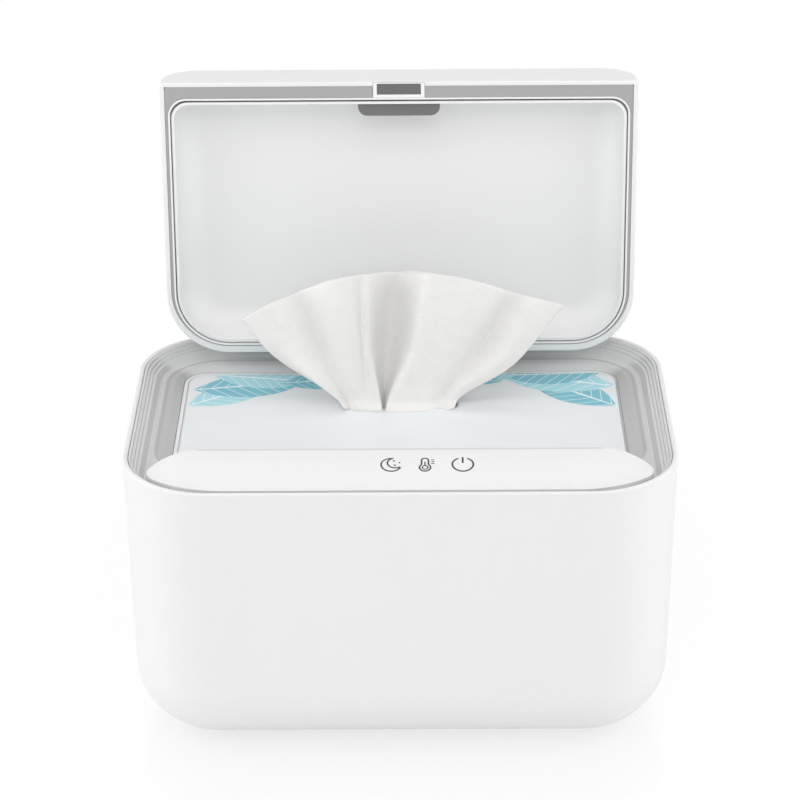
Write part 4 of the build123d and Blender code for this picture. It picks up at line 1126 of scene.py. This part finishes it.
class WARMER_OT_stage(bpy.types.Operator):
    """Set up the camera, the pale floor, the lamps and the room light"""
    bl_idname = "warmer.stage"
    bl_label = "Stage"

    def execute(self, context):
        s = context.scene.warmer_stage
        scene = context.scene
        self.camera(scene, s)
        self.floor(s)
        self.room(scene, s)
        for name, at, size, watts in (("Left lamp", (-1.0, -0.15, 0.45), (1.0, 1.2), s.left_watts),
                                      ("Right lamp", (1.0, -0.15, 0.45), (1.0, 1.2), s.right_watts),
                                      ("Top lamp", (0, -0.1, 1.3), (1.2, 1.2), s.top_watts),
                                      ("Front lamp", (0, -1.5, 1.0), (1.4, 1.0), s.front_watts),
                                      ("High lamp", (0, -1.0, 1.6), (1.0, 1.0), s.high_watts)):
            area_lamp(name, at, size, watts)
        scene.view_settings.view_transform = "Standard"
        return {"FINISHED"}

    def camera(self, scene, s):
        data = bpy.data.cameras.new("Camera")
        data.lens, data.sensor_width = s.lens, 36.0
        data.clip_start, data.clip_end = 0.05, 50.0
        cam = bpy.data.objects.new("Camera", data)
        scene.collection.objects.link(cam)
        away = Vector((0, -math.cos(s.elevation), math.sin(s.elevation))) * s.distance
        turn = Matrix.Rotation(math.pi / 2 - s.elevation, 4, "X") @ Matrix.Rotation(s.roll, 4, "Z")
        aim = Matrix.Translation(Vector((s.target_x, 0, s.target_z)))
        cam.matrix_world = aim @ Matrix.Rotation(s.azimuth, 4, "Z") @ Matrix.Translation(away) @ turn
        scene.camera = cam

    def floor(self, s):
        """A white sheet that fades out: near the warmer it shows some shadow and reflection."""
        pick_none()
        bpy.ops.mesh.primitive_circle_add(vertices=64, radius=s.floor_size / 2, fill_type="NGON")
        floor = named(bpy.context.object, "floor")
        m, t, shader, coords = new_material("Floor, white acrylic")
        skin = t.use(tool_texture, "Sheet", Vector=coords, Scale=400.0, Roughness=0.6, Spread=0.05)
        t.fill(shader, Base_Color=(0.95, 0.95, 0.95), Roughness=skin["Roughness"])
        gloss = t.node("ShaderNodeBsdfGlossy", "Sheen of the sheet", Roughness=0.09, Color=(1, 1, 1))
        white = t.node("ShaderNodeEmission", "Bright floor", Strength=1.0, Color=(1, 1, 1))
        x, y, _ = t.split(coords)
        away = t.math("SQRT", t.plus(t.times(x, x), t.times(y, y)))
        lit = t.ramp(away, 0.16, 0.42, 0.1, 0.0)
        shine = t.ramp(away, 0.2, 0.6, 0.17, 0.0)
        shadowed = mix_shaders(t, "Shadow share", lit, white.outputs[0], shader.outputs[0])
        mirrored = mix_shaders(t, "Reflection share", shine, shadowed, gloss.outputs[0])
        seen = mix_shaders(t, "Only where seen", seen_rays(t), shader.outputs[0], mirrored)
        t.fill(m.node_tree.nodes["Material Output"], Surface=seen)
        floor.data.materials.append(m)

    def room(self, scene, s):
        world = bpy.data.worlds.new("Room")
        world.use_nodes = True
        scene.world = world
        t = Tree(world.node_tree)
        strength = t.times_plus(seen_rays(t), 1.0 - s.sky, s.sky)
        t.fill(world.node_tree.nodes["Background"], Color=(1, 1, 1), Strength=strength)


class WARMER_PT_panel(bpy.types.Panel):
    """Lists the warmer's pieces, sizes and colours"""
    bl_idname = "WARMER_PT_panel"
    bl_label = "Wipe Warmer"
    bl_space_type = "VIEW_3D"
    bl_region_type = "UI"
    bl_category = "Wipe Warmer"

    def draw(self, context):
        for operator in OPERATORS:
            self.layout.operator(operator.bl_idname)
        for name, kind in GROUPS:
            column = self.layout.column(align=True)
            column.label(text=kind.__name__)
            for key in kind.__annotations__:
                column.prop(getattr(context.scene, name), key)


OPERATORS = (WARMER_OT_stage, WARMER_OT_finish_casing, WARMER_OT_finish_lid, WARMER_OT_finish_inside,
             WARMER_OT_symbols, WARMER_OT_pack, WARMER_OT_wipe)


def register():
    for name, kind in GROUPS:
        bpy.utils.register_class(kind)
        setattr(bpy.types.Scene, name, PointerProperty(type=kind))
    for kind in (*OPERATORS, WARMER_PT_panel):
        bpy.utils.register_class(kind)


def unregister():
    for kind in reversed((*OPERATORS, WARMER_PT_panel)):
        bpy.utils.unregister_class(kind)
    for name, kind in reversed(GROUPS):
        delattr(bpy.types.Scene, name)
        bpy.utils.unregister_class(kind)


def main():
    register()
    bpy.ops.warmer.stage()
    bpy.ops.warmer.finish_casing()
    bpy.ops.warmer.finish_lid()
    bpy.ops.warmer.finish_inside()
    bpy.ops.warmer.symbols()
    bpy.ops.warmer.pack()
    bpy.ops.warmer.wipe()


if __name__ == "__main__":
    main()
